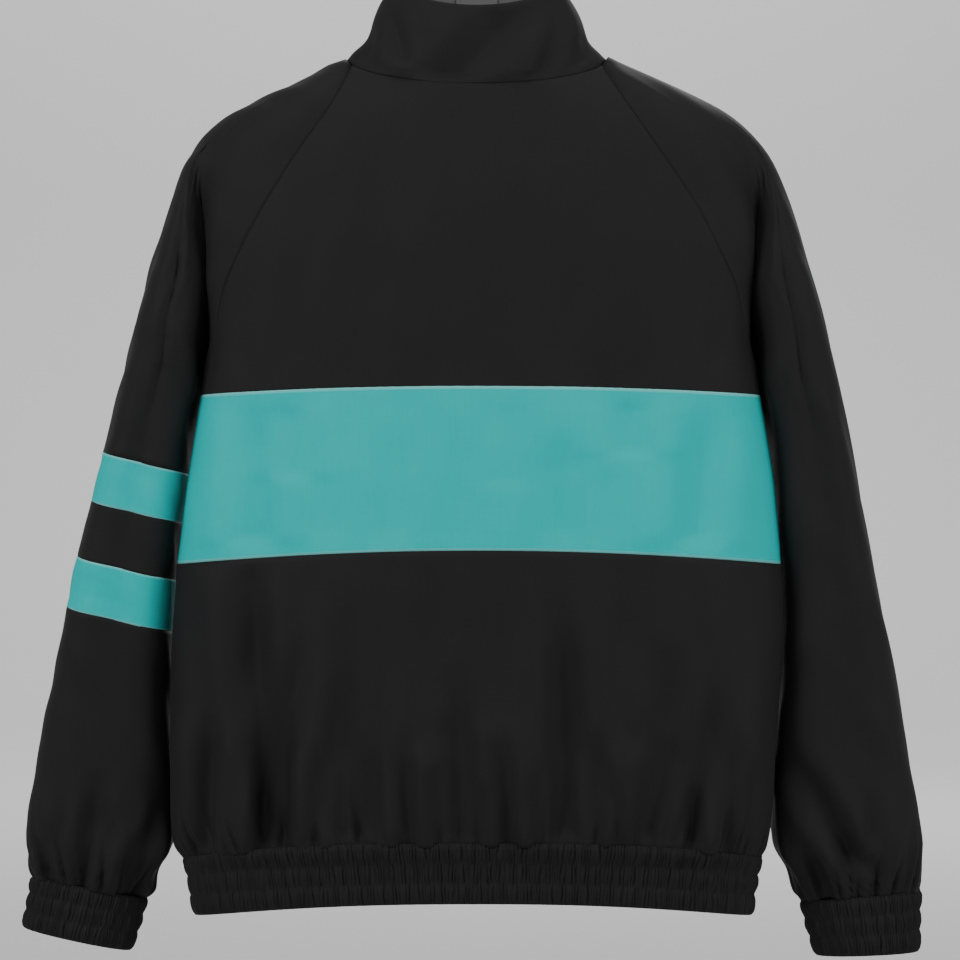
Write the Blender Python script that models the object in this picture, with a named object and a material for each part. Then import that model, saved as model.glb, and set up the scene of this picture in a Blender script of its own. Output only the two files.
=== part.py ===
"""Raglan windbreaker with a stand collar, hollow and filled out as if held up at the neck.

The wearer's back faces -Y and +Z is up.  The origin is the middle of the neck opening,
level with the side neck points.  Sizes are in millimetres and become metres in the meshes.
"""
import math

import bmesh
import bpy
import numpy as np
from mathutils import Matrix, Vector
from mathutils.kdtree import KDTree

for old in list(bpy.data.objects):
    bpy.data.objects.remove(old)
COLLECTION = bpy.data.collections.new("windbreaker")
bpy.context.scene.collection.children.link(COLLECTION)

MM = 0.001
WALL = 1.5              # thickness of a cloth wall
SEAM_GAP = 0.3          # between two pieces sewn edge to edge

# ---- colours: base colour, roughness
BLACK = ((0.014, 0.014, 0.015), 0.72)
TEAL = ((0.045, 0.42, 0.40), 0.68)
GREY = ((0.10, 0.10, 0.105), 0.70)
TAPE = ((0.012, 0.012, 0.013), 0.80)
METAL = ((0.045, 0.045, 0.048), 0.38)

# ---- body: half widths at the edges that the back shows, and depths, at each height
BODY_COLUMNS = ("height", "left", "right", "back", "front")
BODY = (
    (40, 222, 227, 60, 64),
    (-20, 222, 227, 66, 70),
    (-80, 223, 228, 76, 76),
    (-150, 223, 228, 86, 82),
    (-240, 223, 228, 90, 86),
    (-274, 226, 232, 91, 88),
    (-322, 234, 240, 92, 90),
    (-362, 240, 245, 93, 92),
    (-418, 246, 249.5, 94, 94),
    (-505, 251, 249.5, 95, 96),
    (-558, 250, 246, 95, 96),
    (-600, 248, 242, 93, 94),
    (-632, 246, 238, 89, 90),
    (-650, 241, 234, 84, 85),
    (-660, 237, 230, 80, 81),
    (-682, 233.5, 226, 78, 79),
    (-705, 229.5, 224, 76, 77),
)
BODY_ROUNDNESS = 2.8     # exponent of the body's section
FRONT_TAPER = 0.16       # share of its width that the body loses from back to front
EDGE_SHARE = 0.9355      # widest point of that section, as a share of its half width

# ---- shoulder line: height over each distance from the middle
SHOULDER_COLUMNS = ("out", "left", "right")
SHOULDER = (
    (0, 50, 52), (60, 21, 24), (109, -2, 0), (138, -15, -14), (159, -26, -23), (181, -36, -34),
    (201, -46, -44), (220, -59, -54), (233, -71, -68), (240, -84, -79), (260, -125, -115),
)
SHOULDER_ROUND = 85      # height over which the shoulder's roof rounds down into the body

# ---- neck seam and collar
NECK_WIDE = 108
NECK_BACK = 64
NECK_FRONT = 68
NECK_BACK_DROP = 27
NECK_FRONT_DROP = 38
COLLAR_COLUMNS = ("share", "half_width", "lean")
COLLAR = (
    (0.00, 108.0, 0.00), (0.14, 98.5, 0.10), (0.28, 91.0, 0.20), (0.52, 87.5, 0.42),
    (0.76, 80.5, 0.70), (1.00, 70.0, 1.00),
)
RIM_BACK = 56            # depth of the rim behind and before the middle
RIM_FRONT = 64
RIM_BACK_HEIGHT = 36.5
RIM_SIDE_HEIGHT = 58
RIM_FRONT_HEIGHT = 63
FACING_WALL = 1.2

# ---- raglan seams: (half width, height) of the back seam on each side, and the height and
# half width of the sleeve's upper edge at the same station
RAGLAN_COLUMNS = ("left_x", "left_z", "right_x", "right_z",
                  "left_out", "left_top", "right_out", "right_top")
RAGLAN = (
    (102.0, -10.0, 102.0, -9.0, 108.0, -2.0, 108.0, 0.0),
    (113.0, -34.0, 113.5, -29.0, 134.0, -13.5, 133.0, -12.0),
    (125.0, -54.0, 130.0, -54.0, 161.0, -27.0, 160.0, -23.5),
    (141.5, -76.0, 146.5, -79.0, 189.0, -40.0, 187.0, -37.0),
    (162.0, -109.0, 165.5, -106.5, 214.0, -55.0, 212.0, -49.5),
    (180.5, -139.5, 184.0, -136.0, 236.0, -77.0, 238.0, -76.0),
    (194.0, -166.0, 200.0, -168.5, 247.0, -104.5, 252.0, -104.0),
    (207.0, -195.0, 212.0, -193.0, 256.5, -134.0, 263.0, -135.0),
    (215.5, -216.0, 219.5, -212.0, 265.0, -161.0, 272.0, -166.0),
)
# past the body's edge the seams run down its side wall to the underarm point
RAGLAN_SIDE_COLUMNS = ("angle", "height", "left_out", "left_top", "right_out", "right_top")
RAGLAN_SIDE = (
    (22.0, -236.0, 275.0, -191.0, 281.5, -197.0),
    (6.0, -251.0, 283.0, -219.5, 290.0, -226.0),
    (-8.0, -264.0, 290.0, -249.0, 297.5, -257.0),
)
UNDERARM_ANGLE = -8.0    # the side seams' place on the body's section, in degrees

# ---- fold where the sleeve hangs away from the body's edge, at the stations past the corner
# each row: depth of the fold's bottom behind and before the middle of the body, and depth of the
# sleeve's back and front there
CREASE_FIRST = 5         # station of the table's first row
CREASE = (
    (-20, 22, 27, 30), (-24, 34, 42, 50), (-20, 38, 50, 64), (-10, 36, 55, 74),
    (3, 33, 57, 81), (12, 27, 57, 86), (20, 21, 56, 90),
)
CREASE_START = (0.45, 0.85, 1.0)      # how far the fold has opened at its first stations
CREASE_WIDE = 8
CREASE_TOP = -84.0       # the body's edge is taken at this height or below
CREASE_WALL = (0.985, 0.93)           # half width at the fold's bottom, back and front, to the edge's
EDGE_CLEAR = 5           # from the body's edge to the sleeve beside it
BESIDE_SHARE = 0.8       # share of that distance where the sleeve first touches the body's side
EDGE_ANGLE = 20          # degrees on the body's section where its edge turns in
BEFORE_EDGE_ANGLE = 42   # and where the cloth starts to turn
BESIDE_ANGLE = 7
BEFORE_EDGE_MIN = 6
SLEEVE_KNOTS = ((0.0, 0.72), (0.45, 1.0), (0.85, 0.66))   # share across the sleeve, share of depth
SHOULDER_CURVE = 2.4     # exponent of the sleeve's section over the shoulder
SHOULDER_SPLIT = (0.23, 0.55)         # share of that section on the body, at the neck and corner

# ---- sleeve tubes below the underarm
# each row: outer x and z, inner x and z, y of the middle, depth to either side of it
TUBE = {
    "left": (
        (298.0, -284.0, 234.0, -306.0, 22, 72.5),
        (308.3, -323.4, 236.0, -342.6, 22, 72.0),
        (317.6, -363.3, 241.5, -382.6, 22, 70.0),
        (329.2, -408.5, 246.5, -429.5, 22, 68.0),
        (337.9, -449.6, 249.5, -471.8, 22, 65.0),
        (346.9, -500.6, 250.5, -524.0, 22, 62.0),
        (357.2, -551.6, 249.0, -577.0, 21, 58.5),
        (365.8, -597.0, 248.0, -621.0, 20, 54.0),
        (369.5, -637.0, 251.0, -660.0, 18, 47.0),
        (368.5, -660.0, 262.0, -681.0, 17, 40.0),
        (364.8, -673.2, 271.8, -691.3, 16, 33.5),
    ),
    "right": (
        (303.5, -293.0, 240.0, -306.0, 22, 72.5),
        (309.5, -325.0, 241.5, -341.0, 22, 72.0),
        (317.5, -366.0, 246.0, -382.0, 22, 70.0),
        (325.0, -406.0, 249.0, -423.0, 22, 68.0),
        (333.5, -450.0, 249.5, -468.0, 22, 65.0),
        (344.0, -507.0, 248.0, -525.0, 22, 62.0),
        (353.5, -562.0, 243.5, -579.0, 21, 58.5),
        (361.5, -611.0, 241.0, -625.0, 20, 54.0),
        (366.0, -647.0, 243.5, -659.0, 18, 47.0),
        (365.5, -670.0, 255.5, -681.0, 17, 40.0),
        (363.8, -684.6, 266.6, -693.9, 16, 33.5),
    ),
}
CUFF = {
    "left": ((364.3, -673.8, 272.0, -692.0, 16, 33.0), (372.4, -714.3, 285.3, -733.2, 16, 30.5)),
    "right": ((363.6, -685.3, 267.0, -694.6, 16, 33.0), (362.5, -734.0, 279.5, -737.3, 16, 30.5)),
}
TUBE_ROUNDNESS = 2.2
SLEEVE_FORWARD = 22      # how far before the middle of the body the sleeves hang
STRIPES = {"left": (1, 2, 3, 4)}      # sections of the left sleeve at the stripes' edges

# ---- cross seams of the body: height in the middle, drop at the edges, how late it drops
BAND_TOP = (-271.4, 6.5, 2.0)
BAND_BOTTOM = (-403.6, 12.0, 2.0)
HEM_TOP = (-641.5, 15.0, 3.0)
HEM_BOTTOM = (-688.0, 13.0, 2.4)

# ---- folds pressed into the lower body: x and z at the top, in the middle and at the foot,
# depth and half width
BACK_FOLDS = (
    (-186, -430, -178, -520, -168, -632, 7.0, 10), (-136, -500, -152, -538, -152, -620, 5.0, 9),
    (-98, -495, -106, -560, -110, -632, 4.5, 9), (-73, -475, -78, -560, -90, -628, 5.0, 9),
    (-14, -538, -15, -590, -16, -622, 3.5, 8), (66, -475, 72, -560, 69, -634, 6.5, 9),
    (145, -530, 146, -600, 131, -640, 5.0, 9), (187, -548, 178, -600, 161, -634, 5.0, 10),
    (-214, -555, -216, -585, -220, -632, 3.5, 7), (-197, -600, -196, -618, -197, -636, 3.0, 6),
    (-128, -590, -130, -612, -132, -636, 3.0, 6), (-58, -596, -56, -616, -54, -636, 3.0, 6),
    (-36, -600, -35, -618, -34, -636, 2.5, 6), (22, -600, 24, -618, 25, -636, 2.5, 6),
    (46, -604, 46, -620, 47, -636, 2.5, 6), (96, -596, 98, -616, 99, -636, 3.0, 6),
    (206, -590, 205, -612, 203, -632, 3.0, 7),
)
FRONT_FOLDS = (
    (-180, -470, -176, -560, -170, -632, 6.0, 10), (-132, -510, -136, -570, -138, -630, 4.5, 9),
    (-92, -560, -94, -600, -96, -636, 3.5, 8), (-48, -500, -52, -570, -50, -634, 4.5, 9),
    (44, -530, 48, -590, 46, -634, 4.0, 9), (84, -575, 86, -606, 88, -636, 3.0, 8),
    (128, -490, 134, -570, 130, -634, 5.5, 10), (172, -540, 170, -590, 164, -632, 4.5, 9),
)

FOLD_SIDEWAYS = 0.25     # share of a point's distance from the middle that steers a fold inwards
FOLD_OPENS = 1.9         # a fold reaches its depth at one part in this of its length
FOLD_EASE = 1.5

# ---- rows and columns of the panels
ROW_SPREAD = 0.92        # how the rows of the upper body spread from the neck to the band
ROW_BULGE = 0.9
NECK_ROWS = 3            # rows that follow the neck's curve, with this strength at the first
NECK_EASE = 0.55
BACK_LOW = -267.4        # lowest row of the upper back and front, in the middle
FRONT_LOW = -262.0
BACK_COUNT = 25
LOWER_COUNT = 49
FRONT_COUNT = 18
FRONT_FINE = 161         # columns of the whole front before it is cut at the zip
PATH_FINE = 201
BAND_SHARES = (0.0, 0.5, 1.0)
LOWER_SHARES = np.linspace(0, 1, 10) ** 0.85
BODY_PART = 4            # columns of a sleeve's section that lie on the body, on each face
TUBE_PART = 11           # columns from the crease to the sleeve's outer edge
COLLAR_COUNT = 31
COLLAR_FOOT = 0.006      # share of the collar's height at its lowest row

# ---- gathers and ribs
HEM_RIBS = 54
CUFF_RIBS = 18
RIB_HIGH = 1.1
CHANNELS = 3             # rows of elastic in the hem and in each cuff
ROWS_PER_CHANNEL = 2
CHANNEL_HIGH = 1.3
HEM_FRONT_HALF = 205.0   # half width of the hem's front
SLEEVE_GATHERS = 11
GATHER_GROWTH = (0.0, 0.35, 0.8, 1.0, 0.85)   # height of the gathers over the last sections
GATHER_SIZE = 50.0       # half width of the sleeve for which their height is given
SEAM_FLAT = 0.05         # share of a panel's width, at each side, where the folds fade out
FOLD_AT_HEM = 0.4        # share of their depth that the folds keep at the hem's seam
GATHER_HIGH = 2.6
CUFF_RIB_SHARE = 0.7     # height of the cuffs' ribs to the hem's
HEM_RIM = 0.2            # how far the hem's stitched edges stand out

# ---- zip
ZIP_HALF = 3.2           # from the middle to each front edge
TAPE_WIDE = 11
TAPE_WALL = 0.9
TEETH_WIDE = 5.6
SLIDER_LONG = 12
SLIDER_WIDE = 8.6
SLIDER_HIGH = 2.6
BRIDGE_WIDE = 2.4
BRIDGE_WALL = 1.2
BRIDGE_INSIDE = 1.3      # radius under the arch, clear of the pull's bar
BRIDGE_AXIS = 1.4        # height of the pull's axis over the slider
PULL_LONG = 26
PULL_WIDE = 6.5
PULL_WALL = 1.2
PULL_BAR = 1.2
PULL_SLOT = 3.2
PULL_CLEAR = 0.4
METALLIC = 0.9

SHEETS = []              # sheets of cloth that wait for their walls


def column(table, columns, name):
    """One named column of a table."""
    return np.array([row[columns.index(name)] for row in table], dtype=float)


def smooth(xs, ys, x):
    """Value at x of the smooth curve through the points (xs, ys), xs rising."""
    xs, ys = np.asarray(xs, float), np.asarray(ys, float)
    if xs[0] > xs[-1]:
        xs, ys = xs[::-1], ys[::-1]
    slopes = np.gradient(ys, xs)
    x = min(max(x, xs[0]), xs[-1])
    i = min(max(int(np.searchsorted(xs, x)) - 1, 0), len(xs) - 2)
    span = xs[i + 1] - xs[i]
    t = (x - xs[i]) / span
    return float((2 * t**3 - 3 * t**2 + 1) * ys[i] + (t**3 - 2 * t**2 + t) * span * slopes[i]
                 + (3 * t**2 - 2 * t**3) * ys[i + 1] + (t**3 - t**2) * span * slopes[i + 1])


BODY_AT = {name: column(BODY, BODY_COLUMNS, name) for name in BODY_COLUMNS}
SHOULDER_AT = {name: column(SHOULDER, SHOULDER_COLUMNS, name) for name in SHOULDER_COLUMNS}


def body_size(name, z):
    return smooth(BODY_AT["height"], BODY_AT[name], z)


def roof(x, z):
    """Share of its depth that the body has below the shoulder line, 0 on the line itself."""
    side = "left" if x < 0 else "right"
    below = smooth(SHOULDER_AT["out"], SHOULDER_AT[side], abs(x)) - z
    share = min(max(below / SHOULDER_ROUND, 0.0), 1.0)
    return math.sqrt(1 - (1 - share) ** 2)


def body_ring(z, angle):
    """Point (x, y) of the body at height z.  Angle 0 is the right side, 90 degrees the back."""
    c, s = math.cos(angle), math.sin(angle)
    back, front = body_size("back", z), body_size("front", z)
    half = body_size("right" if c > 0 else "left", z) / EDGE_SHARE
    power = 2 / BODY_ROUNDNESS
    y = -math.copysign(abs(s) ** power, s) * (back if s > 0 else front)
    taper = 1 - FRONT_TAPER * (y + back) / (back + front)
    x = math.copysign(abs(c) ** power, c) * half * taper
    return x, y * roof(x, z)


def angle_of(x, z):
    """Angle on the back half of the body's section at which it has this x."""
    low, high = (math.radians(28), math.pi / 2) if x > 0 else (math.radians(152), math.pi / 2)
    for _ in range(40):
        mid = (low + high) / 2
        if abs(body_ring(z, mid)[0]) > abs(x):
            low = mid
        else:
            high = mid
    return mid


def mirrored(side, angle):
    return math.pi - angle if side == "left" else angle


def neck(angle):
    """Point of the neck seam; angles are as on the body's section."""
    c, s = math.cos(angle), math.sin(angle)
    y = -s * (NECK_BACK if s > 0 else NECK_FRONT)
    z = -abs(s) * (NECK_BACK_DROP if s > 0 else NECK_FRONT_DROP)
    return np.array([NECK_WIDE * c, y, z])


def fold_depth(x, z, folds):
    """How far the folds press the cloth in at this point of a panel."""
    depth = 0.0
    for top_x, top_z, mid_x, mid_z, low_x, low_z, deep, wide in folds:
        place = smooth((low_z, mid_z, top_z), (low_x, mid_x, top_x), z)
        along = min(max((top_z - z) / (top_z - low_z), 0.0), 1.0)
        strength = math.sin(min(along * FOLD_OPENS, 1.0) * math.pi / 2) ** FOLD_EASE
        depth += deep * strength * math.exp(-((x - place) / wide) ** 2)
    return depth


def press(point, folds, share):
    """Moves a point of the body inwards by a share of the folds' depth there."""
    x, y, z = point
    depth = fold_depth(x, z, folds) * share
    inward = np.array([-x * FOLD_SIDEWAYS, -y, 0.0])
    return np.array(point) + inward / (np.linalg.norm(inward) + 1e-9) * depth


def cross_height(seam, x, z_guess):
    mid, drop, late = seam
    half = body_size("left" if x < 0 else "right", z_guess)
    return mid - drop * min(abs(x) / half, 1.0) ** late


def cross_point(seam, angle):
    """Point of a cross seam of the body at this angle of its section."""
    z = seam[0]
    for _ in range(3):
        x, y = body_ring(z, angle)
        z = cross_height(seam, x, z)
    x, y = body_ring(z, angle)
    return np.array([x, y, z])


def raglan(side):
    """Stations of one side: back seam angle and height, and the sleeve's upper edge there."""
    sign = -1 if side == "left" else 1
    stations = []
    for row in RAGLAN:
        x, z, out, top = (row[RAGLAN_COLUMNS.index(side + name)]
                          for name in ("_x", "_z", "_out", "_top"))
        stations.append((angle_of(sign * x, z), z, sign * out, top))
    for row in RAGLAN_SIDE:
        out, top = (row[RAGLAN_SIDE_COLUMNS.index(side + name)] for name in ("_out", "_top"))
        stations.append((mirrored(side, math.radians(row[0])), row[1], sign * out, top))
    return stations


STATIONS = {side: raglan(side) for side in ("left", "right")}
UNDERARM = len(STATIONS["left"]) - 1
NECK_END = {side: mirrored(side, math.acos(RAGLAN[0][0] / NECK_WIDE)) for side in STATIONS}


def seam_point(side, station, facing):
    """Point of the raglan seam; facing is 1 for the back seam and -1 for the front one."""
    if station == 0:
        return neck(facing * NECK_END[side])
    z = STATIONS[side][station][1]
    x, y = body_ring(z, section_angle(side, station, facing))
    return np.array([x, y, z])


def resample(points, count):
    """The same path with evenly spaced points."""
    points = np.array(points)
    steps = np.linalg.norm(np.diff(points, axis=0), axis=1)
    length = np.concatenate(([0.0], np.cumsum(steps)))
    if length[-1] < 1e-6:
        return np.repeat(points[:1], count, axis=0)
    wanted = np.linspace(0, length[-1], count)
    return np.array([np.interp(wanted, length, points[:, i]) for i in range(3)]).T


def spline(knots, per_span=8):
    """Catmull-Rom curve through the knots."""
    knots = [np.array(k, float) for k in knots]
    ends = [2 * knots[0] - knots[1]] + knots + [2 * knots[-1] - knots[-2]]
    path = []
    for i in range(1, len(ends) - 2):
        a, b, c, d = ends[i - 1:i + 3]
        for t in np.linspace(0, 1, per_span, endpoint=False):
            path.append(0.5 * (2 * b + (c - a) * t + (2 * a - 5 * b + 4 * c - d) * t**2
                               + (3 * b - 3 * c + d - a) * t**3))
    path.append(knots[-1])
    return path


# ---------------------------------------------------------------- body panels
def torso_row(facing, station, count):
    """Row of points across the back or the front, from the right seam to the left one."""
    right, left = (seam_point(side, station, facing) for side in ("right", "left"))
    if station == 0:
        first, last = facing * NECK_END["right"], facing * NECK_END["left"]
        return [neck(a) for a in np.linspace(first, last, count)]
    first, last = (section_angle(side, station, facing) for side in ("right", "left"))
    share = station / UNDERARM
    low = BACK_LOW if facing > 0 else FRONT_LOW
    top = -NECK_BACK_DROP if facing > 0 else -NECK_FRONT_DROP
    middle = top + (low - top) * share ** ROW_SPREAD
    row = []
    for i, angle in enumerate(np.linspace(first, last, count)):
        t = i / (count - 1)
        side_z = right[2] + (left[2] - right[2]) * t
        bulge = math.sin(math.pi * t) ** ROW_BULGE
        z = side_z + (middle - side_z) * bulge
        x, y = body_ring(z, angle)
        row.append(np.array([x, y, z]))
    row[0], row[-1] = right, left
    if station < NECK_ROWS:
        ease = (1 - station / NECK_ROWS) ** 2 * NECK_EASE
        for i, angle in enumerate(np.linspace(facing * NECK_END["right"],
                                              facing * NECK_END["left"], count)):
            if 0 < i < count - 1:
                pull = neck(angle)[1] - row[i][1]
                row[i][1] += pull * ease * math.sin(math.pi * i / (count - 1))
    return row


def section_angle(side, station, facing):
    """Angle of the raglan seam on the body's section; both seams end at the underarm."""
    angle = STATIONS[side][station][0]
    if facing > 0 or station < len(RAGLAN):
        return facing * angle
    last = mirrored(side, STATIONS[side][len(RAGLAN) - 1][0])
    low = math.radians(UNDERARM_ANGLE)
    share = (mirrored(side, angle) - low) / (last - low)
    turned = low + (-last - low) * share
    return turned if side == "right" else -math.pi - turned


def lower_rows(facing, seams, count, folds=()):
    """Rows of the body below the underarm, between cross seams given in order."""
    first = math.radians(UNDERARM_ANGLE)
    last = math.pi - first if facing > 0 else -math.pi - first
    angles = np.linspace(first, last, count)
    rows = []
    for seam in seams:
        row = []
        at_hem = FOLD_AT_HEM if seam == HEM_TOP else 1.0
        for t, angle in zip(np.linspace(0, 1, count), angles):
            near_seam = min(min(t, 1 - t) / SEAM_FLAT, 1.0) * at_hem
            row.append(press(cross_point(seam, angle), folds, near_seam))
        rows.append(row)
    return rows


def between(upper, lower, share):
    return tuple(a + (b - a) * share for a, b in zip(upper, lower))


def grid_faces(bm, rows):
    """Faces of a grid of points, pointing out when rows run down and columns to the left."""
    verts = [[bm.verts.new(p) for p in row] for row in rows]
    for upper, lower in zip(verts, verts[1:]):
        for i in range(len(upper) - 1):
            bm.faces.new((upper[i], upper[i + 1], lower[i + 1], lower[i]))
    return verts


def pull_back(bm, amount):
    """Draws the free edges of a sheet back, so that two pieces stay apart at their seam."""
    moves = {}
    for v in bm.verts:
        if not v.is_boundary:
            continue
        inner = [e.other_vert(v).co for e in v.link_edges if not e.is_boundary]
        if not inner:
            inner = [f.calc_center_median() for f in v.link_faces]
        goal = sum((p for p in inner[1:]), inner[0].copy()) / len(inner)
        way = goal - v.co
        moves[v] = way.normalized() * min(amount, way.length * 0.4)
    for v, move in moves.items():
        v.co += move


def sheet(name, bm, colour, wall=WALL, gap=SEAM_GAP * 0.58, outward=None):
    """Keeps an open sheet of cloth, facing out, until its neighbours are there too."""
    bmesh.ops.remove_doubles(bm, verts=bm.verts, dist=0.02)
    bmesh.ops.dissolve_degenerate(bm, edges=bm.edges, dist=0.01)
    bmesh.ops.recalc_face_normals(bm, faces=bm.faces)
    face = max(bm.faces, key=lambda f: f.calc_area())
    centre = face.calc_center_median()
    away = centre - Vector(outward or (0.0, 14.0, centre.z))
    if face.normal.dot(away) < 0:
        bmesh.ops.reverse_faces(bm, faces=bm.faces)
    SHEETS.append((name, bm, colour, wall, gap))


def joined_normals():
    """Normals of all the sheets sewn together, looked up by place."""
    whole = bmesh.new()
    for _, bm, _, _, _ in SHEETS:
        copies = {v: whole.verts.new(v.co) for v in bm.verts}
        for face in bm.faces:
            whole.faces.new([copies[v] for v in face.verts])
    bmesh.ops.remove_doubles(whole, verts=whole.verts, dist=0.05)
    whole.normal_update()
    tree = KDTree(len(whole.verts))
    normals = []
    for i, v in enumerate(whole.verts):
        tree.insert(v.co, i)
        normals.append(v.normal.copy())
    tree.balance()
    whole.free()
    return tree, normals


def make_walls():
    """Gives each sheet its wall, on the inner side and square to the cloth at every seam."""
    tree, normals = joined_normals()
    for name, bm, colour, wall, gap in SHEETS:
        way_in = {v: -normals[tree.find(v.co)[1]] for v in bm.verts}
        pull_back(bm, gap)
        faces = list(bm.faces)
        rim = [loop for face in faces for loop in face.loops if loop.edge.is_boundary]
        rim = [(loop.vert, loop.link_loop_next.vert) for loop in rim]
        inner = {v: bm.verts.new(v.co + way * wall) for v, way in way_in.items()}
        for face in faces:
            bm.faces.new([inner[v] for v in reversed(face.verts)])
        for a, b in rim:
            bm.faces.new((b, a, inner[a], inner[b]))
        bmesh.ops.triangulate(bm, faces=bm.faces)
        bmesh.ops.scale(bm, vec=(MM, MM, MM), verts=bm.verts)
        new_piece(name, bm, colour)


def new_piece(name, bm, colour, metallic=0.0):
    mesh = bpy.data.meshes.new(name)
    bm.to_mesh(mesh)
    bm.free()
    piece = bpy.data.objects.new(name, mesh)
    COLLECTION.objects.link(piece)
    mesh.materials.append(material(name, colour, metallic))
    mesh.shade_smooth()
    mesh.set_sharp_from_angle(angle=math.radians(50))
    return piece


def material(name, colour, metallic):
    mat = bpy.data.materials.new(name)
    mat.use_nodes = True
    shader = mat.node_tree.nodes["Principled BSDF"]
    shader.inputs["Base Color"].default_value = (*colour[0], 1.0)
    shader.inputs["Roughness"].default_value = colour[1]
    shader.inputs["Metallic"].default_value = metallic
    return mat


def panel(name, rows, colour):
    bm = bmesh.new()
    grid_faces(bm, rows)
    sheet(name, bm, colour)


def back_panels():
    upper = [torso_row(1, k, BACK_COUNT) for k in range(UNDERARM + 1)]
    upper += lower_rows(1, [BAND_TOP], BACK_COUNT)
    panel("back_upper", upper, BLACK)
    band = [between(BAND_TOP, BAND_BOTTOM, s) for s in BAND_SHARES]
    panel("back_band", lower_rows(1, band, BACK_COUNT), TEAL)
    low = [between(BAND_BOTTOM, HEM_TOP, s) for s in LOWER_SHARES[:-1]] + [HEM_TOP]
    panel("back_lower", lower_rows(1, low, LOWER_COUNT, BACK_FOLDS), BLACK)


def front_half(side, row):
    """The part of a front row that belongs to one front, ending at the zip."""
    sign = -1 if side == "left" else 1
    line = np.array(row)
    half = line[line[:, 0] * sign > ZIP_HALF]
    crossing = [i for i in range(len(line) - 1)
                if (line[i][0] - sign * ZIP_HALF) * (line[i + 1][0] - sign * ZIP_HALF) <= 0][0]
    a, b = line[crossing], line[crossing + 1]
    edge = a + (b - a) * (sign * ZIP_HALF - a[0]) / (b[0] - a[0])
    half = np.vstack((half, edge)) if side == "right" else np.vstack((edge, half))
    return half


def front_panels():
    rows = [torso_row(-1, k, FRONT_FINE) for k in range(UNDERARM + 1)]
    low = [between(BAND_TOP, BAND_BOTTOM, s) for s in BAND_SHARES[:-1]]
    low += [between(BAND_BOTTOM, HEM_TOP, s) for s in LOWER_SHARES[:-1]] + [HEM_TOP]
    rows += lower_rows(-1, low, FRONT_FINE, FRONT_FOLDS)
    for side in ("left", "right"):
        halves = [resample(front_half(side, row), FRONT_COUNT) for row in rows]
        panel("front_" + side, halves, BLACK)
    return rows


# ---------------------------------------------------------------- sleeves
def shoulder_section(side, station, facing):
    """Half a section of the sleeve's top, from the raglan seam to the shoulder line."""
    _, _, out, top = STATIONS[side][station]
    start = seam_point(side, station, facing)
    path = []
    for t in np.linspace(0, 1, 40):
        s = math.sin(t * math.pi / 2)
        depth = start[1] * math.sqrt(max(1 - s ** SHOULDER_CURVE, 0))
        path.append((start[0] + (out - start[0]) * s, depth, start[2] + (top - start[2]) * s))
    return path


def split_path(path, share):
    """Columns of a shoulder section, split where the body's edge starts further down."""
    fine = resample(path, PATH_FINE)
    cut = int(round((PATH_FINE - 1) * share))
    return np.vstack((resample(fine[:cut + 1], BODY_PART), resample(fine[cut:], TUBE_PART)[1:]))


def crease_section(side, station, facing):
    """Half a section past the shoulder's corner: body edge, crease, and the sleeve's back."""
    sign = -1 if side == "left" else 1
    _, _, out, top = STATIONS[side][station]
    start = seam_point(side, station, facing)
    back_depth, front_depth, sleeve_back, sleeve_front = CREASE[station - CREASE_FIRST]
    bottom, sleeve = (back_depth, sleeve_back) if facing > 0 else (front_depth, sleeve_front)
    slope = (top - start[2]) / (out - start[0])

    def at(x, y):
        return (x, y, start[2] + (x - start[0]) * slope)

    edge_z = start[2] + (sign * body_size(side, start[2]) - start[0]) * slope
    level = min(edge_z, CREASE_TOP)
    edge, before = (body_ring(level, facing * mirrored(side, math.radians(angle)))
                    for angle in (EDGE_ANGLE, BEFORE_EDGE_ANGLE))
    wall_x = sign * body_size(side, level) * CREASE_WALL[0 if facing > 0 else 1]
    body = [start]
    if abs(start[0]) < abs(before[0]) - BEFORE_EDGE_MIN and station < len(RAGLAN):
        mid = (start[0] + before[0]) / 2
        y = body_ring(level, facing * angle_of(mid, level))[1]
        body += [at(mid, (y + start[1]) / 2), at(*before)]
    if station < len(RAGLAN):
        body.append(at(*edge))
    if station < UNDERARM:
        body.append(at(wall_x, bottom))
    clear = sign * (body_size(side, level) + EDGE_CLEAR)
    if facing < 0:
        clear = body[-1][0] + sign * CREASE_WIDE
    middle = SLEEVE_FORWARD * (station - CREASE_FIRST + 1) / (UNDERARM - CREASE_FIRST + 1)
    tube = [body[-1]]
    if station >= len(RAGLAN) and facing > 0:
        side_x, side_y = body_ring(level, mirrored(side, math.radians(BESIDE_ANGLE)))
        tube.append(at(side_x + sign * EDGE_CLEAR * BESIDE_SHARE, side_y))
    for across, deep in SLEEVE_KNOTS:
        tube.append(at(clear + (out - clear) * across,
                       middle + (-facing * sleeve - middle) * deep))
    tube.append((out, middle, top))
    return [start, start] if station == UNDERARM else spline(body), spline(tube)


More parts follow.
